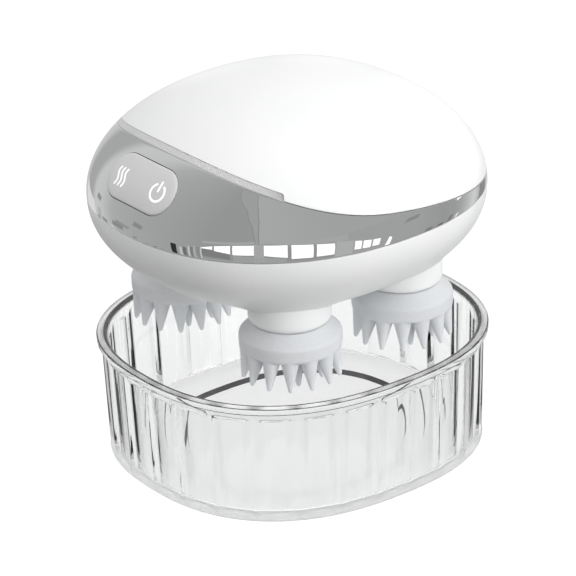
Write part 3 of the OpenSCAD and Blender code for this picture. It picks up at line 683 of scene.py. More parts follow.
combine(lower_shell, [hollow, seat]
        + [peg(WELL_RADIUS, UNDER, ROOF, x, y) for x, y in HEADS.values()]
        + [peg(SCREW_BORE, UNDER, WAIST - BORE_DEPTH, x, y, SCREW_SIDES) for x, y in SCREWS])
soften(lower_shell, 35)
print("lower shell:", len(lower_shell.data.polygons), "faces")

# %% [markdown]
# Discs, claws and collars are all round, so they are spun from half a section, as on a lathe.
# The export puts every object at the origin, so a head is moved by its mesh.

# %% Spun forms
def spin_profile(mesh, profile, steps):
    """Spins a list of (radius, height), from axis to axis, and returns its vertices."""
    before = set(mesh.verts)
    verts = [mesh.verts.new((r, 0, z)) for r, z in profile]
    edges = [mesh.edges.new(pair) for pair in zip(verts, verts[1:])]
    bmesh.ops.spin(mesh, geom=verts + edges, cent=(0, 0, 0), axis=(0, 0, 1), dvec=(0, 0, 0),
                   angle=math.tau, steps=steps, use_merge=True, use_duplicate=False)
    return [v for v in mesh.verts if v not in before]


def put_at(thing, x, y):
    """Moves the mesh, not the object, so that the object stays at the origin."""
    thing.data.transform(Matrix.Translation((x * MM, y * MM, 0)))


# %% [markdown]
# Each head is soft silicone, cast in one piece: a disc with a round shoulder and two rings
# of claws. The parts are simply pushed into each other and then remeshed into one skin of
# small squares. Relaxing that skin leaves the soft fillets a real casting has.

# %% Silicone heads
head_low, head_high = (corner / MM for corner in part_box("front_right_head"))
HEAD_RADIUS = (head_high.x - head_low.x) / 2
COLLAR = head_high.z
DISC_HEIGHT = 7.2
DISC = COLLAR - DISC_HEIGHT
CLAW_LENGTH = 8.4
CLAW_ROOT = 2.58
CLAW_TIP = 0.66
OUTER_CLAWS = 14
INNER_CLAWS = 7
CLAW_SINK = 0.6
INNER_INSET = 3.6
LOWER_EDGE = 0.9
SHOULDER = 10
HEAD_EDGE = 1.6
SLOPE_DROP = 2.2
SLOPE_TURN = 55
SOCKET = 8.2
SOCKET_DEPTH = 1.7
SKIN = 0.25


def add_claws(mesh, count, ring, root):
    """Adds a ring of claws that lean outwards until their outer edges are upright."""
    lean = math.atan((root - CLAW_TIP) / CLAW_LENGTH)
    ball = arc((0, CLAW_LENGTH - 0.2), CLAW_TIP, 0, 90, 3)
    profile = [(0, -1), (root, -1), (root, 0)] + ball[:-1] + [(0, ball[-1][1])]
    tilt = Matrix.Translation((ring, 0, DISC + CLAW_SINK)) @ Matrix.Rotation(math.pi - lean, 4, "Y")
    for n in range(count):
        verts = spin_profile(mesh, profile, 24)
        turn = Matrix.Rotation(math.tau * (n + 0.5) / count, 4, "Z")
        bmesh.ops.transform(mesh, matrix=turn @ tilt, verts=verts)


def cast_head():
    """One head about its own axis, as a single skin."""
    lower_edge = arc((HEAD_RADIUS - LOWER_EDGE, DISC + LOWER_EDGE), LOWER_EDGE, -90, 0, 5)
    upper_edge = arc((HEAD_RADIUS - HEAD_EDGE, COLLAR - SLOPE_DROP - HEAD_EDGE),
                     HEAD_EDGE, 0, SLOPE_TURN, 8)
    socket = [(SOCKET, COLLAR), (SOCKET, COLLAR - SOCKET_DEPTH), (0, COLLAR - SOCKET_DEPTH)]
    mesh = bmesh.new()
    spin_profile(mesh, [(0, DISC)] + lower_edge + upper_edge + [(SHOULDER, COLLAR)] + socket, 128)
    add_claws(mesh, OUTER_CLAWS, HEAD_RADIUS - CLAW_ROOT, CLAW_ROOT)
    add_claws(mesh, INNER_CLAWS, HEAD_RADIUS - CLAW_ROOT - INNER_INSET, CLAW_ROOT - 0.3)
    head = piece("head_casting", mesh)
    remesh = head.modifiers.new("one skin", "REMESH")
    remesh.mode = "VOXEL"
    remesh.voxel_size = SKIN * MM
    relax = head.modifiers.new("relax", "SMOOTH")
    relax.factor = 0.5
    relax.iterations = 2
    apply_changes(head)
    for face in head.data.polygons:
        face.use_smooth = True
    return head


casting = cast_head()
silicone_heads = {}
for name, (x, y) in HEADS.items():
    silicone_heads[name] = bpy.data.objects.new(f"{name}_silicone", casting.data.copy())
    bpy.context.scene.collection.objects.link(silicone_heads[name])
    put_at(silicone_heads[name], x, y)
print("a head:", len(casting.data.polygons), "faces")
bpy.data.objects.remove(casting)

# %% [markdown]
# The collar of each head is a round moulding, so it is spun from a profile: a plug that sits
# in the socket of the silicone, a round lower edge, and a straight wall that rises into its
# well. It is hollow above, where the boss of the shaft reaches in.

# %% Collars that carry the heads
COLLAR_ROUND = 2
COLLAR_GAP = 0.05
COLLAR_LIP = 0.4
PLUG_GAP = 0.1
CAVITY = 6.3
CAVITY_FLOOR = COLLAR + 4.7
plug_foot = COLLAR - SOCKET_DEPTH + PLUG_GAP
plug = [(0, plug_foot), (SOCKET - PLUG_GAP, plug_foot), (SOCKET - PLUG_GAP, COLLAR + COLLAR_GAP)]
foot_arc = arc((COLLAR_RADIUS - COLLAR_ROUND, COLLAR + COLLAR_GAP + COLLAR_ROUND),
               COLLAR_ROUND, -90, 0, 10)
lip_arc = arc((COLLAR_RADIUS - COLLAR_LIP, HUB_TOP - COLLAR_LIP), COLLAR_LIP, 0, 90, 4)
cavity = [(CAVITY, HUB_TOP), (CAVITY, CAVITY_FLOOR), (0, CAVITY_FLOOR)]
collars = {}
for name, (x, y) in HEADS.items():
    mesh = bmesh.new()
    spin_profile(mesh, plug + foot_arc + lip_arc + cavity, 96)
    collars[name] = soften(piece(f"{name}_collar", mesh), 40)
    put_at(collars[name], x, y)
print("collar radius", round(COLLAR_RADIUS, 2))

# %% [markdown]
# The cup is clear moulded acrylic. Outside it has slightly hollow facets with a fine groove
# between each two, and they end under a plain collar and a raised rim. Inside it is smooth.
# A wall that is hollow on one side and smooth on the other bends the light in stripes. The
# functions here give a ring of the cup at any height, smooth or with facets.

# %% Rings of the cup
cup_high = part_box("clear_cup")[1] / MM
CUP_HEIGHT = cup_high.z
CUP_FACETS = 28
CUP_STEPS = 12
CUP_FULL = 2.4
CUP_TAPER = 2
CUP_RIM = 1
FLUTE = 0.62
FACET_PHASE = 0.2
GROOVE_SHARE = 0.026
GROOVE_DEPTH = 0.22
GROOVE_FOOT = 0.25
CORNER_STEP = 15
print(f"cup {cup_high.x * 2:.1f} by {cup_high.y * 2:.1f} by {CUP_HEIGHT:.1f} mm")


def cup_ring(z, grow, groove=0.02):
    """A smooth ring of the cup at height z, grown outwards. Each facet has the same places."""
    lean = CUP_TAPER / 2 * (1 - z / CUP_HEIGHT)
    half_x = cup_high.x - CUP_RIM - lean + grow
    half_y = cup_high.y - CUP_RIM - lean + grow
    inner = CUP_STEPS - 2
    shares = [0, groove] + [k / inner for k in range(1, inner)] + [1 - groove]
    turns = [360 * (n + FACET_PHASE + share) / CUP_FACETS
             for n in range(CUP_FACETS) for share in shares]
    return [oval(half_x, half_y, CUP_FULL, turn) + Vector((0, 0, z)) for turn in turns]


def facet_ring(z, relief):
    """The same ring with slightly hollow facets, cut no deeper than relief, and a fine groove
    between two facets that gets narrower and shallower towards the foot."""
    taper = GROOVE_FOOT + (1 - GROOVE_FOOT) * z / CUP_HEIGHT
    ring = cup_ring(z, 0, GROOVE_SHARE * taper)
    made = []
    for i, point in enumerate(ring):
        k = i // CUP_STEPS * CUP_STEPS
        start, end = ring[k], ring[(k + CUP_STEPS) % len(ring)]
        share = (point - start).dot(end - start) / (end - start).length_squared
        inward = Vector((-point.x, -point.y, 0)).normalized()
        cut = start.lerp(end, share) + inward * FLUTE * 4 * share * (1 - share)
        if i == k:
            cut = point + inward * GROOVE_DEPTH * taper
        dip = (cut - point).length
        made.append(point.lerp(cut, min(1, relief / dip)) if dip > 1e-6 else point)
    return made


def corner(grow, z, radius, start, end):
    """Rings round a corner: radius about a middle that is grown outwards by grow."""
    count = abs(end - start) // CORNER_STEP
    turns = [math.radians(start + (end - start) * k / count) for k in range(count + 1)]
    return [cup_ring(z + radius * math.sin(t), grow + radius * math.cos(t)) for t in turns]


# %% [markdown]
# The rings go up the outside, over the rim and down the inside. Where the facets start and
# end they fade in over a few rings, which gives the shallow arcs under the collar. The floor
# inside steps down a little, some way in from the wall: seen through the wall, that step
# draws a thin dark line behind the heads, which the painted grey of its faces darkens.

# %% Clear cup
CUP_WALL = 1.8
CUP_FLOOR = 2.2
CUP_FOOT = 0.6
RIM_FOOT = CUP_HEIGHT - 2
RIM_UNDERCUT = RIM_FOOT + 0.1
FACET_TOP = RIM_FOOT - 2.6
TOP_CORNER = 0.5
LIP_CORNER = 0.35
LINING_DROP = 0.05
BOWL = 1
PLATEAU = 11
PLATEAU_EDGE = 0.8
PLATEAU_DROP = 1.2
FACETS_START = ((0.3, 0.08), (0.6, 0.2), (1, 0.4), (1.5, 1))
FACETS_END = ((0, 1), (0.5, 0.4), (0.9, 0.25), (1.3, 0.16), (1.7, 0.1))
cup_outside = corner(-CUP_FOOT, CUP_FOOT, CUP_FOOT, -90, 0)
for height, facets in ((CUP_FOOT, FACETS_START), (FACET_TOP, FACETS_END)):
    cup_outside += [facet_ring(height + above_it, relief) for above_it, relief in facets]
cup_rim = [cup_ring(FACET_TOP + 2.3, 0), cup_ring(RIM_FOOT - 0.05, 0),
           cup_ring(RIM_FOOT + 0.05, 0.3), cup_ring(RIM_UNDERCUT, CUP_RIM - LIP_CORNER)]
cup_rim += corner(CUP_RIM - LIP_CORNER, RIM_UNDERCUT + LIP_CORNER, LIP_CORNER, -75, 0)
cup_rim += corner(CUP_RIM - TOP_CORNER, CUP_HEIGHT - TOP_CORNER, TOP_CORNER, 0, 90)
cup_rim += [cup_ring(CUP_HEIGHT, TOP_CORNER - CUP_WALL + 0.5)]
cup_rim += corner(TOP_CORNER - CUP_WALL, CUP_HEIGHT - TOP_CORNER - LINING_DROP, TOP_CORNER, 90, 180)
cup_inside = corner(-CUP_WALL - BOWL, CUP_FLOOR + BOWL, BOWL, 0, -90)
# the last ring becomes the pole, so the foot of the step is given twice
cup_inside += [cup_ring(CUP_FLOOR - down, -CUP_WALL - PLATEAU - inward) for down, inward in (
    (0, 0), (PLATEAU_DROP, PLATEAU_EDGE), (PLATEAU_DROP, PLATEAU_EDGE + 2))]
clear_cup = soften(loft("cup_clear", cup_outside + cup_rim + cup_inside), 20)
print("cup:", len(clear_cup.data.polygons), "faces")

# %% [markdown]
# Colours are written as the hex values one would pick on a screen and turned into the
# linear light that the renderer works in. `add` puts one node into a material with its
# settings and links, and every finish below is built with it.

# %% Tools for materials
def tone(hex_value):
    """A screen colour such as "#F4F5F5" as linear light."""
    parts = [int(hex_value[i:i + 2], 16) / 255 for i in (1, 3, 5)]
    return tuple(p / 12.92 if p <= 0.04045 else ((p + 0.055) / 1.055) ** 2.4 for p in parts) + (1,)


def add(tree, kind, settings=None, inputs=None):
    """Adds a shader node. A socket given as an input is linked, and any other value is set."""
    node = tree.nodes.new("ShaderNode" + kind)
    for name, value in (settings or {}).items():
        setattr(node, name, value)
    for name, value in (inputs or {}).items():
        if isinstance(value, bpy.types.NodeSocket):
            tree.links.new(value, node.inputs[name])
        else:
            node.inputs[name].default_value = value
    return node


def start_finish(name):
    """An empty material: its tree, and the object's own coordinates in metres."""
    material = bpy.data.materials.new(name)
    material.use_nodes = True
    material.node_tree.nodes.clear()
    tree = material.node_tree
    return material, tree, add(tree, "TexCoord").outputs["Object"]


def end_finish(tree, shader):
    """Sends the shader to the surface."""
    add(tree, "OutputMaterial", inputs={"Surface": shader.outputs[0]})


def shades(tree, value, low, high, stops):
    """A ramp of screen colours over a value that runs from low to high."""
    share = add(tree, "MapRange", inputs={"Value": value, "From Min": low, "From Max": high})
    ramp = add(tree, "ValToRGB", inputs={"Fac": share.outputs["Result"]})
    elements = ramp.color_ramp.elements
    while len(elements) < len(stops):
        elements.new(0.5)
    for element, (position, shade) in zip(elements, stops):
        element.position = (position - low) / (high - low)
        element.color = tone(shade)
    return ramp.outputs["Color"]


# %% [markdown]
# Plastic, rubber and metal are all one Principled shader with different numbers. What makes
# them look real is that nothing is quite even, so `finish` lets a noise choose the tone, the
# roughness and the fine bumps. The size of its blobs is a real size in millimetres. What is
# the same all over the surface is set on the shader's own socket.

# %% The recipe of a finish
def finish(name, blobs, tones=None, rough=None, bump=None, detail=2.0, clouds=None, **same):
    """A material with noise of a size in mm: two tones, two roughnesses, bumps as (depth in
    mm, strength). Clouds are larger blobs for the tones alone. Same are sockets by name."""
    material, tree, where = start_finish(name)

    def noise(size):
        return add(tree, "TexNoise", inputs={
            "Vector": where, "Scale": 1 / (size * MM), "Detail": detail}).outputs["Fac"]

    fine = noise(blobs)
    inputs = {socket.replace("_", " "): value for socket, value in same.items()}
    if tones:
        inputs["Base Color"] = shades(tree, noise(clouds) if clouds else fine, 0, 1,
                                      [(0.35, tones[0]), (0.65, tones[1])])
    if rough:
        inputs["Roughness"] = add(tree, "MapRange", inputs={
            "Value": fine, "From Min": 0.3, "From Max": 0.7,
            "To Min": rough[0], "To Max": rough[1]}).outputs["Result"]
    if bump:
        inputs["Normal"] = add(tree, "Bump", inputs={
            "Height": fine, "Distance": bump[0] * MM, "Strength": bump[1]}).outputs["Normal"]
    end_finish(tree, add(tree, "BsdfPrincipled", inputs=inputs))
    return material


# %% [markdown]
# The outside is made of a few clean materials. The lacquered shell has a soft, broad gloss,
# the band is a mirror, and the strip, the pad and the collars are satin: the light on them
# spreads. Silicone lets light sink in a little, which softens its shadows.

# %% Finishes of the outside
# ABS moulded in a polished tool and lacquered: a clean white with a soft, broad gloss
lacquered_abs = finish("gloss_white_abs", 1.5, ("#F3F4F4", "#F6F7F6"), (0.28, 0.36), (0.002, 0.1),
                       clouds=30, IOR=1.5)
# the inlaid strip: light grey ABS with a fine satin skin, a little darker than the lacquer
strip_abs = finish("satin_light_grey_abs", 0.3, ("#D0D0D0", "#D4D4D4"), (0.38, 0.46),
                   (0.006, 0.15), IOR=1.5)
# bright chrome over polished ABS: a nearly perfect mirror, a little cool
chrome = finish("chrome_plate", 12, None, (0.02, 0.035), Base_Color=tone("#F8F9F9"), Metallic=1.0)
# fine spark-eroded texture on the pad: grey, evenly matt
pad_abs = finish("satin_grey_abs", 0.25, ("#D8D8D8", "#DCDCDB"), (0.42, 0.5), (0.01, 0.15), IOR=1.5)
# white pad-printed ink, slightly raised and matt, with a faint painted glow that makes it brighter
# than the light on it
ink = finish("sign_ink_painted_glow", 0.2, ("#FAFAFA", "#FFFFFF"), Roughness=0.6,
             Emission_Color=tone("#FFFFFF"), Emission_Strength=0.35)
# soft silicone: light sinks in about a millimetre, and the skin is silky with fine dust
silicone = finish("cast_silicone", 0.4, ("#DADCDF", "#DEE0E2"), (0.42, 0.52), (0.01, 0.15),
                  IOR=1.41, Subsurface_Weight=0.1, Subsurface_Radius=(0.9, 0.95, 1.0),
                  Subsurface_Scale=1.2 * MM)
# the collars: white ABS with a satin skin
collar_abs = finish("satin_white_abs", 0.5, ("#F8F9F9", "#FAFBFB"), (0.32, 0.4), IOR=1.5)
print("outside: lacquered and satin ABS, chrome, ink and silicone")

# %% [markdown]
# Clear acrylic is nothing but its outline: it shows where its surface turns away. There
# `Layer Weight` darkens its colour, a painted shade for the dark outline that bent light
# draws. A renderer follows light for a limited number of bounces and loses it in thick
# corners, so the thin faces that one sees as grey lines, at the step in the floor and along
# both edges of the rim, get a dark grey acrylic that is mostly opaque, a painted shade. The
# flat foot and the top of the rim are frosted by the tool and scatter light, which a faint
# painted glow stands for.

# %% Finishes of the cup
FOOT_PAINTED_GLOW = 0.22


def clear_acrylic():
    """Polished acrylic, clear right through, with the faintest unevenness of a moulding, and a
    painted shade where its surface turns away from the eye.
    """
    material = finish("clear_acrylic", 14, bump=(0.12, 0.25), IOR=1.49, Roughness=0.0,
                      Transmission_Weight=1.0)
    tree = material.node_tree
    # painted shade: the colour goes dark grey where the surface turns away from the eye, for the
    # dark outline that bent light draws
    glancing = add(tree, "LayerWeight", inputs={"Blend": 0.5}).outputs["Facing"]
    clear = shades(tree, glancing, 0, 1, [
        (0, "#FAFBFB"), (0.72, "#F4F5F5"), (0.9, "#A8A8A8"), (1, "#5A5A5A")])
    tree.links.new(clear, tree.nodes["Principled BSDF"].inputs["Base Color"])
    return material


cup_acrylic = clear_acrylic()
# painted shade: the same acrylic, dark grey and mostly opaque, where a thin line of it is seen edge
# on, for the dark lines that bent light draws there
painted_edge_acrylic = finish("painted_shade_acrylic", 8, ("#464646", "#5C5C5C"), IOR=1.49, Roughness=0.0,
                      Transmission_Weight=0.25)
# the same moulding where the tool left it matt: it scatters the light that meets it, and a faint
# painted glow stands for that scattered light
matt_acrylic = finish("matt_acrylic", 4, None, (0.54, 0.56), Base_Color=tone("#FFFFFF"), IOR=1.49,
                      Transmission_Weight=1.0, Emission_Color=tone("#FFFFFF"),
                      Emission_Strength=FOOT_PAINTED_GLOW)
print("cup: clear, grey and matt acrylic")

# %% [markdown]
# The inside is never polished for show. Steel is turned, bronze is sintered, gears are milky
# nylon, the frame is stiff glass-filled nylon, and rubber, the board and the cell bring the
# only colours.

# %% Finishes of the inside
def solder_mask():
    """Green solder mask over copper tracks, which show as slightly lighter lines."""
    material, tree, where = start_finish("solder_mask")
    tracks = add(tree, "TexWave", {"wave_type": "BANDS", "bands_direction": "X"},
                 {"Vector": where, "Scale": 1 / (8 * MM), "Distortion": 6.0, "Detail": 0.0})
    green = shades(tree, tracks.outputs["Fac"], 0, 1, [(0.35, "#0E4A2C"), (0.65, "#1B6B41")])
    end_finish(tree, add(tree, "BsdfPrincipled", inputs={
        "Base Color": green, "IOR": 1.5, "Roughness": 0.3}))
    return material


# bright turned steel: slightly uneven, so that some places gleam more than others
steel = finish("machined_steel", 0.3, ("#B4B6B8", "#C6C8CA"), (0.22, 0.36), Metallic=1.0)
# porous bearing bronze soaked in oil: brown-gold with a fine speckle
bronze = finish("sintered_bronze", 0.2, ("#8C6A3A", "#B58F55"), (0.35, 0.6), detail=4,
                Metallic=1.0)
# unfilled nylon gears: milky off-white, slightly waxy
nylon = finish("natural_nylon", 3, ("#E6E2D6", "#EFECE2"), (0.35, 0.5), IOR=1.53,
               Subsurface_Weight=0.2, Subsurface_Radius=(1.0, 0.95, 0.85),
               Subsurface_Scale=0.8 * MM)
# stiff grey structural plastic with a slightly mottled, matt skin
frame_nylon = finish("glass_filled_nylon", 0.8, ("#A3A5A7", "#B1B3B4"), (0.5, 0.65), (0.02, 0.3),
                     detail=5, IOR=1.55)
# seals, foam and switch caps: near-black, dull, with a fine tooth
rubber = finish("black_elastomer", 0.3, ("#161616", "#242424"), (0.6, 0.8), (0.02, 0.4), detail=4,
                IOR=1.5)
# the cell's blue shrink film: glossy and slightly wrinkled
film = finish("shrink_film", 2.5, ("#2A55A0", "#3465B5"), (0.22, 0.35), (0.05, 0.3), detail=3,
              IOR=1.5)
# thin gold on nickel contact pins
gold = finish("gold_flash", 0.4, ("#D9A94E", "#E6BB66"), (0.15, 0.28), Metallic=1.0)
FINISHES = {
    "white_shell": lacquered_abs, "trim_grey": strip_abs, "chrome_band": chrome,
    "grey_pad": pad_abs, "silicone": silicone, "collar_white": collar_abs,
    "clear_acrylic": cup_acrylic, "steel": steel, "motor_steel": steel, "bronze": bronze,
    "nylon": nylon, "frame_grey": frame_nylon, "black_rubber": rubber,
    "board_green": solder_mask(), "cell_wrap": film, "gold": gold,
}
print(len(FINISHES), "slots have a finish")

# %% [markdown]
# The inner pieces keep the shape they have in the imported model, because the machined and
# moulded forms there are already right. Only their finish is new, one for each slot of the
# record.

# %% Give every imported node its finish
def dress(thing, material):
    """The thing gets this material and no other."""
    thing.data.materials.clear()
    thing.data.materials.append(material)


for part in frame["record"]["subparts"]:
    dress(frame["nodes"][part["node"]], FINISHES[part["material_slot"]])

# %% [markdown]
# Each new piece rides on the body that moves it and takes the place of its plain solid. The
# signs replace nothing: they are only ink, and ride with the pad.

# %% Hang each new piece on its body
def stand_for(thing, body, slot, *nodes):
    """The piece moves with a body and is shown in place of its plain solids."""
    dress(thing, FINISHES[slot])
    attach(thing, body)
    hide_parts(*nodes)


stand_for(top_shell, "housing", "white_shell", "top_shell")
stand_for(trim_strip, "housing", "trim_grey", "trim_strip")
stand_for(lower_shell, "housing", "white_shell", "lower_shell")
stand_for(mirror_band, "housing", "chrome_band", "mirror_band")
stand_for(button_pad, "button", "grey_pad", "button_pad")
stand_for(clear_cup, "cup", "clear_acrylic", "clear_cup")
for name in HEADS:
    stand_for(silicone_heads[name], f"{name}_massager", "silicone", f"{name}_head")
    stand_for(collars[name], f"{name}_massager", "collar_white", f"{name}_hub")
dress(pad_signs, ink)
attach(pad_signs, "button")
print("on their bodies: shells, strip, band, pad, signs, cup and", 2 * len(HEADS), "parts of heads")

# %% [markdown]
# The cup is one moulding with three finishes. Which one a face gets follows from its height
# and from how far it looks outwards: the flat foot and the flat top of the rim are matt with a
# faint painted glow, and the thin faces at the step in the floor and along both edges of the
# rim are painted grey, a painted shade for the dark lines there.

# %% Matt and grey faces of the cup
CLEAR, MATT, PAINTED_SHADE = 0, 1, 2
FOOT_MATT = 0.1
clear_cup.data.materials.append(matt_acrylic)
clear_cup.data.materials.append(painted_edge_acrylic)


def cup_finish(height, outwards, upwards):
    """Which of the three finishes a face has."""
    if height < FOOT_MATT or height > CUP_HEIGHT - 0.01:
        return MATT
    # the grey faces are painted shade: the dark lines that bent light draws at the step and along
    # the rim
    in_step = CUP_FLOOR - PLATEAU_DROP < height < CUP_FLOOR and upwards > 0.2 and outwards < -0.2
    in_top = height > CUP_HEIGHT - TOP_CORNER - LINING_DROP and (
        outwards < -0.05 or 0.4 < outwards < 0.85)
    in_lip = RIM_UNDERCUT < height < RIM_UNDERCUT + LIP_CORNER and outwards > 0.3
    return PAINTED_SHADE if in_step or in_top or in_lip else CLEAR


counts = [0, 0, 0]
for face in clear_cup.data.polygons:
    middle, normal = face.center, face.normal
    outwards = Vector((middle.x, middle.y)).normalized().dot(Vector((normal.x, normal.y)))
    face.material_index = cup_finish(middle.z / MM, outwards, normal.z)
    counts[face.material_index] += 1
print("clear, matt and grey faces:", counts)

# %% [markdown]
# A mirror is only as good as what it sees. The studio is plain and white for the camera,
# while the chrome sees a quiet room: a grey vaulted ceiling and a wide arched window that is
# divided into panes, with pale hills outside. Each patch of the room is a grid bent onto a
# large ball, between a left and a right edge that are given in degrees seen from the body.
# Heading 0 is straight out of the button panel, and 90 is to its right. Only mirrors see it.

# %% Tools for the room that the chrome reflects
ROOM_RADIUS = 3000
PATCH_GRID = 12
PATCH_STEP = 10


def shades_round(tree, where, stops):
    """Screen colours round the body, given by heading in degrees from -180 to 180."""
    parts = add(tree, "SeparateXYZ", inputs={0: where})
    ahead = add(tree, "Math", {"operation": "MULTIPLY"}, {0: parts.outputs["Y"], 1: -1.0})
    heading = add(tree, "Math", {"operation": "ARCTAN2"},
                  {0: parts.outputs["X"], 1: ahead.outputs[0]})
    return shades(tree, heading.outputs[0], -math.pi, math.pi,
                  [(math.radians(h), shade) for h, shade in stops])


def glow(name, colour, strength=1.0):
    """A material that only shines, in one screen colour or in colours given by heading."""
    material, tree, where = start_finish(name)
    shade = tone(colour) if isinstance(colour, str) else shades_round(tree, where, colour)
    end_finish(tree, add(tree, "Emission", inputs={"Color": shade, "Strength": strength}))
    return material


def along(edge, share):
    """The place at a share of the way along a line of (heading, height) points."""
    k = min(int(share * (len(edge) - 1)), len(edge) - 2)
    return Vector(edge[k]).lerp(Vector(edge[k + 1]), share * (len(edge) - 1) - k)


def patch(name, left, right_edge, material, depth=0):
    """A piece of the room between two edges, both given from the bottom up."""
    mesh = bmesh.new()
    bmesh.ops.create_grid(mesh, x_segments=PATCH_GRID, y_segments=PATCH_GRID, size=0.5)
    for vert in mesh.verts:
        share = vert.co.y + 0.5
        heading, height = along(left, share).lerp(along(right_edge, share), vert.co.x + 0.5)
        a, e = math.radians(heading), math.radians(height)
        vert.co = Vector((math.sin(a) * math.cos(e), -math.cos(a) * math.cos(e), math.sin(e)))
        vert.co *= ROOM_RADIUS - PATCH_STEP * depth
    bmesh.ops.translate(mesh, vec=(0, 0, WAIST), verts=mesh.verts)
    made = piece(name, mesh)
    dress(made, material)
    for way in ("camera", "diffuse", "transmission", "shadow"):
        setattr(made, f"visible_{way}", False)


def upright(name, start, end, low, high, shade, lean, depth=2):
    """A patch with straight sides that lean by some degrees."""
    patch(name, [(start, low), (start + lean, high)], [(end, low), (end + lean, high)],
          GREYS[shade], depth)


daylight = glow("daylight", "#FFFFFF", 1.2)
ceiling = glow("ceiling", [(-180, "#AAAAAA"), (40, "#AAAAAA"), (60, "#A8A8A8"), (90, "#A4A4A4"),
                           (130, "#A4A4A4"), (180, "#A0A0A0")])
GREYS = {shade: glow(f"grey_{shade}", f"#{shade}{shade}{shade}") for shade in (
    "30", "70", "80", "8C", "94", "A0", "A8", "B0", "C8", "DC")}
print(len(GREYS), "greys for the room")

# %% [markdown]
# The window wall fills the right half of what the panel mirrors. Its panes follow an arch, so
# each is given by its left and right side, the two ends of its sill and of its head.

# %% The window wall
# (left, right, sill at the left, sill at the right, head at the left, head at the right)
PANES = [
    (3, 11, -5, -4.5, -4, 0.5), (12.3, 23, -6, -8.5, 1.2, 4.7),
    (24.5, 38.5, -9.5, -8.5, 5.2, 7.4), (45, 59.8, -9, -13.5, 7.7, 7),
    (62.2, 75.5, -16, -17, 6.6, 3.6), (77.5, 88, -16.5, -17, 3, -0.2),
    (99.5, 103.3, -16, -17, -3.5, -5.5), (104.2, 108.6, -17, -18, -6, -8),
    (109.6, 113.4, -17.5, -18, -8.3, -9.5),
]
# (name, left edge, right edge, grey, depth)
WINDOW_WALL = [
    ("window_wall", [(-2, -24), (-2, -6)], [(40, -24), (40, 8.6)], "94", 0),
    ("window_wall_right", [(40, -24), (40, 8.6)], [(88, -24), (88, 0.5)], "94", 0),
    ("hall_end", [(88.5, -24), (89, 2)], [(98.8, -24), (98.5, -2)], "B0", 1),
    ("great_post", [(38.5, -24), (38.5, 9)], [(45, -24), (45, 9)], "A8", 1),
    ("hills_left", [(3.5, -16), (3.5, -5)], [(22.5, -18), (22.5, -7.5)], "80", 1),
    ("hills_middle", [(24.5, -20), (24.5, -10)], [(59, -22), (59, -14)], "A0", 1),
    ("ground", [(-2, -25), (-2, -21)], [(115, -25), (115, -21)], "B0", 2),
    ("arch", [(4, 3), (4, 6)], [(40, 10), (40, 13.5)], "A8", 2),
    ("arch_right", [(45, 10.5), (45, 14)], [(96, 1), (96, 9)], "A8", 2),
]
for name, left, right_edge, shade, depth in WINDOW_WALL:
    patch(name, left, right_edge, GREYS[shade], depth)
for n, (start, end, sill_start, sill_end, head_start, head_end) in enumerate(PANES):
    patch(f"pane_{n}", [(start, sill_start), (start, head_start)],
          [(end, sill_end), (end, head_end)], daylight, 2)
patch("white_post", [(117, -24), (118, -11)], [(119.5, -24), (119.5, -13)], daylight, 1)
print(len(PANES), "panes of the window")

# %% [markdown]
# To the left of the window there are dark frames and pale posts, and small things stand about
# the room. Chrome without them would look like grey paint. Each is a leaning strip.

# %% Frames and small things in the room
# (middle, width, grey, top)
FRAMES = [(-17.5, 4, "30", -8), (-12.4, 1.6, "C8", -10), (-9.6, 2.6, "70", -9),
          (-6.4, 1.2, "C8", -6), (-4.4, 2, "80", -6), (-2.4, 1.4, "B0", -4), (0.4, 2, "8C", -4),
          (2.2, 1, "C8", -3)]
# (left, right, bottom, top, grey)
SPOTS = [
    (-46, -40, -8, -3, "8C"), (-75, -69, -24, -19, "94"), (-62, -54, -19, -15, "8C"),
    (-58, -50, -15, -12, "94"), (-50, -47, -23, -19, "8C"), (-66, -63, -25, -20, "C8"),
    (-42, -39, -25, -21, "8C"), (-35, -33, -25, -22, "30"), (-30, -27, -25, -20, "94"),
    (-104, -84, -25, -15, "DC"), (-83, -80, -25, -21, "80"), (-79, -75, -21, -15, "B0"),
    (-78, -73, -10, -6, "94"), (-75, -71, -24, -21, "A0"), (124, 130, -1, 3, "8C"),
    (135, 139, -25, -19, "80"), (143, 147, -25, -20, "70"), (151, 154, -24, -17, "80"),
    (157, 160, -24, -19, "DC"), (-171, -169, -25, -8, "80"),
]
for n, (middle, width, shade, top) in enumerate(FRAMES):
    upright(f"frame_{n}", middle - width / 2, middle + width / 2, -25, top, shade, 1, 3)
for n, (start, end, bottom, top, shade) in enumerate(SPOTS):
    upright(f"spot_{n}", start, end, bottom, top, shade, 1.5)
print(len(FRAMES) + len(SPOTS), "frames and small things")

# %% [markdown]
# The vault of the ceiling has a fold beside the great post of the window. Its two lines lean
# over to the left as they climb, and a thin darker line marks each. Behind the body there are
# more windows, for whoever looks from the back.

# %% Ceiling and far windows
FOLD = [(40, 10), (38.5, 20), (36, 33), (27, 52), (0, 70)]
POST = [(42, 10), (41, 24), (40, 40), (36, 55), (28, 70)]
CEILING_END = 150
FAR_PANES = 9
FAR_START = 158
FAR_PITCH = 9


def beside(line, degrees):
    return [(heading + degrees, height) for heading, height in line]


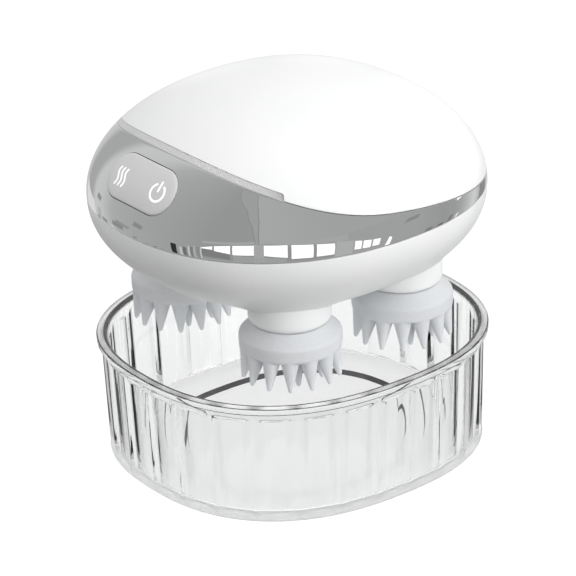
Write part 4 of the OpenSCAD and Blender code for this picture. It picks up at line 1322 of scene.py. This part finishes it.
patch("ceiling_fold", FOLD, POST, GREYS["A0"], 1)
patch("fold_line", beside(FOLD, -0.8), FOLD, GREYS["8C"], 2)
patch("post_line", beside(POST, -0.6), beside(POST, 0.2), GREYS["8C"], 2)
patch("ceiling_right", POST, [(CEILING_END, height) for _, height in POST], ceiling, 1)
for n in range(FAR_PANES):
    start = FAR_START + FAR_PITCH * n + (6 if n > 4 else 0)
    patch(f"far_pane_{n}", [(start, -7), (start, 9)], [(start + 7.5, -7), (start + 7.5, 9)],
          daylight, 1)
print(FAR_PANES, "far windows")

# %% [markdown]
# The floor is plain and pale. A floor painted white would throw too much light up into the
# heads, so its paint is grey, and what the camera sees of it, straight on or through the cup,
# is lifted to white by a glow that only those rays meet. The deepest of the shadow stays.

# %% Floor
FLOOR_SIZE = 2000
FLOOR_LIFT = 0.9
GLAZED_LIFT = 0.75
floor_mesh = bmesh.new()
bmesh.ops.create_grid(floor_mesh, x_segments=1, y_segments=1, size=FLOOR_SIZE)
floor = piece("floor", floor_mesh)
floor.visible_glossy = False
floor_paint, tree, _ = start_finish("floor_paint")
ways = add(tree, "LightPath")
straight, glazed = (add(tree, "Math", {"operation": "MULTIPLY"}, {0: ways.outputs[way], 1: lift})
                    for way, lift in (("Is Camera Ray", FLOOR_LIFT),
                                      ("Is Transmission Ray", GLAZED_LIFT)))
lift = add(tree, "Math", {"operation": "MAXIMUM"}, {0: straight.outputs[0], 1: glazed.outputs[0]})
paint = add(tree, "BsdfDiffuse", inputs={"Color": tone("#848484")})
lifted = add(tree, "Emission", inputs={"Color": tone("#FFFFFF"), "Strength": lift.outputs[0]})
end_finish(tree, add(tree, "AddShader", inputs={0: paint.outputs[0], 1: lifted.outputs[0]}))
dress(floor, floor_paint)
print(f"floor {2 * FLOOR_SIZE / 1000:.0f} m across")

# %% [markdown]
# The world does most of the lighting, as a big soft tent would: its roof is bright all over,
# and its walls go from bright at the camera's right to dark at its left, which gives the round
# forms a shaded side. `Light Path` lets each kind of ray see its own world. The camera sees
# white paper, the chrome sees the grey walls of the room, and the cup sees white low down and
# a darker tent above, which draws its edges.

# %% World
WALL_LIGHT = (0.0, 1.1)
ROOF_LIGHT = (1.06, 1.0)
ROOF_STARTS = 0.35
ROOM_WALLS = [
    (-180, "#D2D2D2"), (-174, "#C4C4C4"), (-168, "#A4A4A4"), (-166, "#8C8C8C"), (-156, "#8C8C8C"),
    (-152, "#C0C0C0"), (-144, "#DADADA"), (-118, "#D0D0D0"), (-106, "#C4C4C4"), (-100, "#A8A8A8"),
    (-88, "#A8A8A8"), (-82, "#C8C8C8"), (-72, "#C4C4C4"), (-60, "#AEAEAE"), (-45, "#A6A6A6"),
    (8, "#989898"), (40, "#989898"), (90, "#A0A0A0"), (130, "#A2A2A2"), (146, "#9A9A9A"),
    (158, "#9E9E9E"), (164, "#A8A8A8"), (170, "#B8B8B8"), (180, "#D2D2D2"),
]
CUP_TENT = [(-1, "#FFFFFF"), (0.13, "#FFFFFF"), (0.28, "#909090"), (0.6, "#6C6C6C"), (1, "#8A8A8A")]
world = bpy.data.worlds.new("studio")
bpy.context.scene.world = world
world.use_nodes = True
world.node_tree.nodes.clear()
tree = world.node_tree
ways = add(tree, "LightPath")
direction = add(tree, "TexCoord").outputs["Generated"]
sideways = add(tree, "VectorMath", {"operation": "DOT_PRODUCT"}, {0: direction, 1: right})
parts = add(tree, "SeparateXYZ", inputs={0: direction})
wall_light, roof_light = (add(tree, "MapRange", inputs={
    "Value": sideways.outputs["Value"], "From Min": -1, "From Max": 1,
    "To Min": at_left, "To Max": at_right}) for at_left, at_right in (WALL_LIGHT, ROOF_LIGHT))
climb = add(tree, "MapRange", {"interpolation_type": "SMOOTHSTEP"},
            {"Value": parts.outputs["Z"], "From Min": 0.0, "From Max": ROOF_STARTS})
tent = add(tree, "Mix", {"data_type": "FLOAT"}, {
    0: climb.outputs["Result"], 2: wall_light.outputs["Result"], 3: roof_light.outputs["Result"]})
walls = shades_round(tree, direction, ROOM_WALLS)
tent_above = shades(tree, parts.outputs["Z"], -1, 1, CUP_TENT)
white = tone("#FFFFFF")
mix = add(tree, "Background", inputs={"Color": white, "Strength": tent.outputs[0]})
for way, colour in (("Is Glossy Ray", walls), ("Is Transmission Ray", tent_above),
                    ("Is Camera Ray", white)):
    view = add(tree, "Background", inputs={"Color": colour, "Strength": 1.0})
    mix = add(tree, "MixShader", inputs={
        0: ways.outputs[way], 1: mix.outputs[0], 2: view.outputs[0]})
add(tree, "OutputWorld", inputs={"Surface": mix.outputs[0]})
print("world with", len(tree.nodes), "nodes")

# %% [markdown]
# One large round lamp stands at the right, in front of the body, and gives the soft forms
# their bright side. Mirrors don't see it, because the room already gives them their lights.
# The view transform is Standard, so a colour is shown as it is written.

# %% Lamp
LAMP_PLACE = right * 0.85 + back * 0.7 + Vector((0, 0, -0.15))
LAMP_AIM = Vector((0, 0, 0.05))
LAMP_SIZE = 0.6
LAMP_POWER = 5.8
light = bpy.data.lights.new("side", "AREA")
light.shape = "DISK"
light.size = LAMP_SIZE
light.energy = LAMP_POWER
lamp = bpy.data.objects.new("side", light)
bpy.context.scene.collection.objects.link(lamp)
turn = (LAMP_PLACE - LAMP_AIM).to_track_quat("Z", "Y").to_matrix().to_4x4()
lamp.matrix_world = Matrix.Translation(LAMP_PLACE) @ turn
lamp.visible_glossy = False
bpy.context.scene.view_settings.view_transform = "Standard"
print(f"lamp {(LAMP_PLACE - LAMP_AIM).length:.2f} m away, {LAMP_POWER} W")
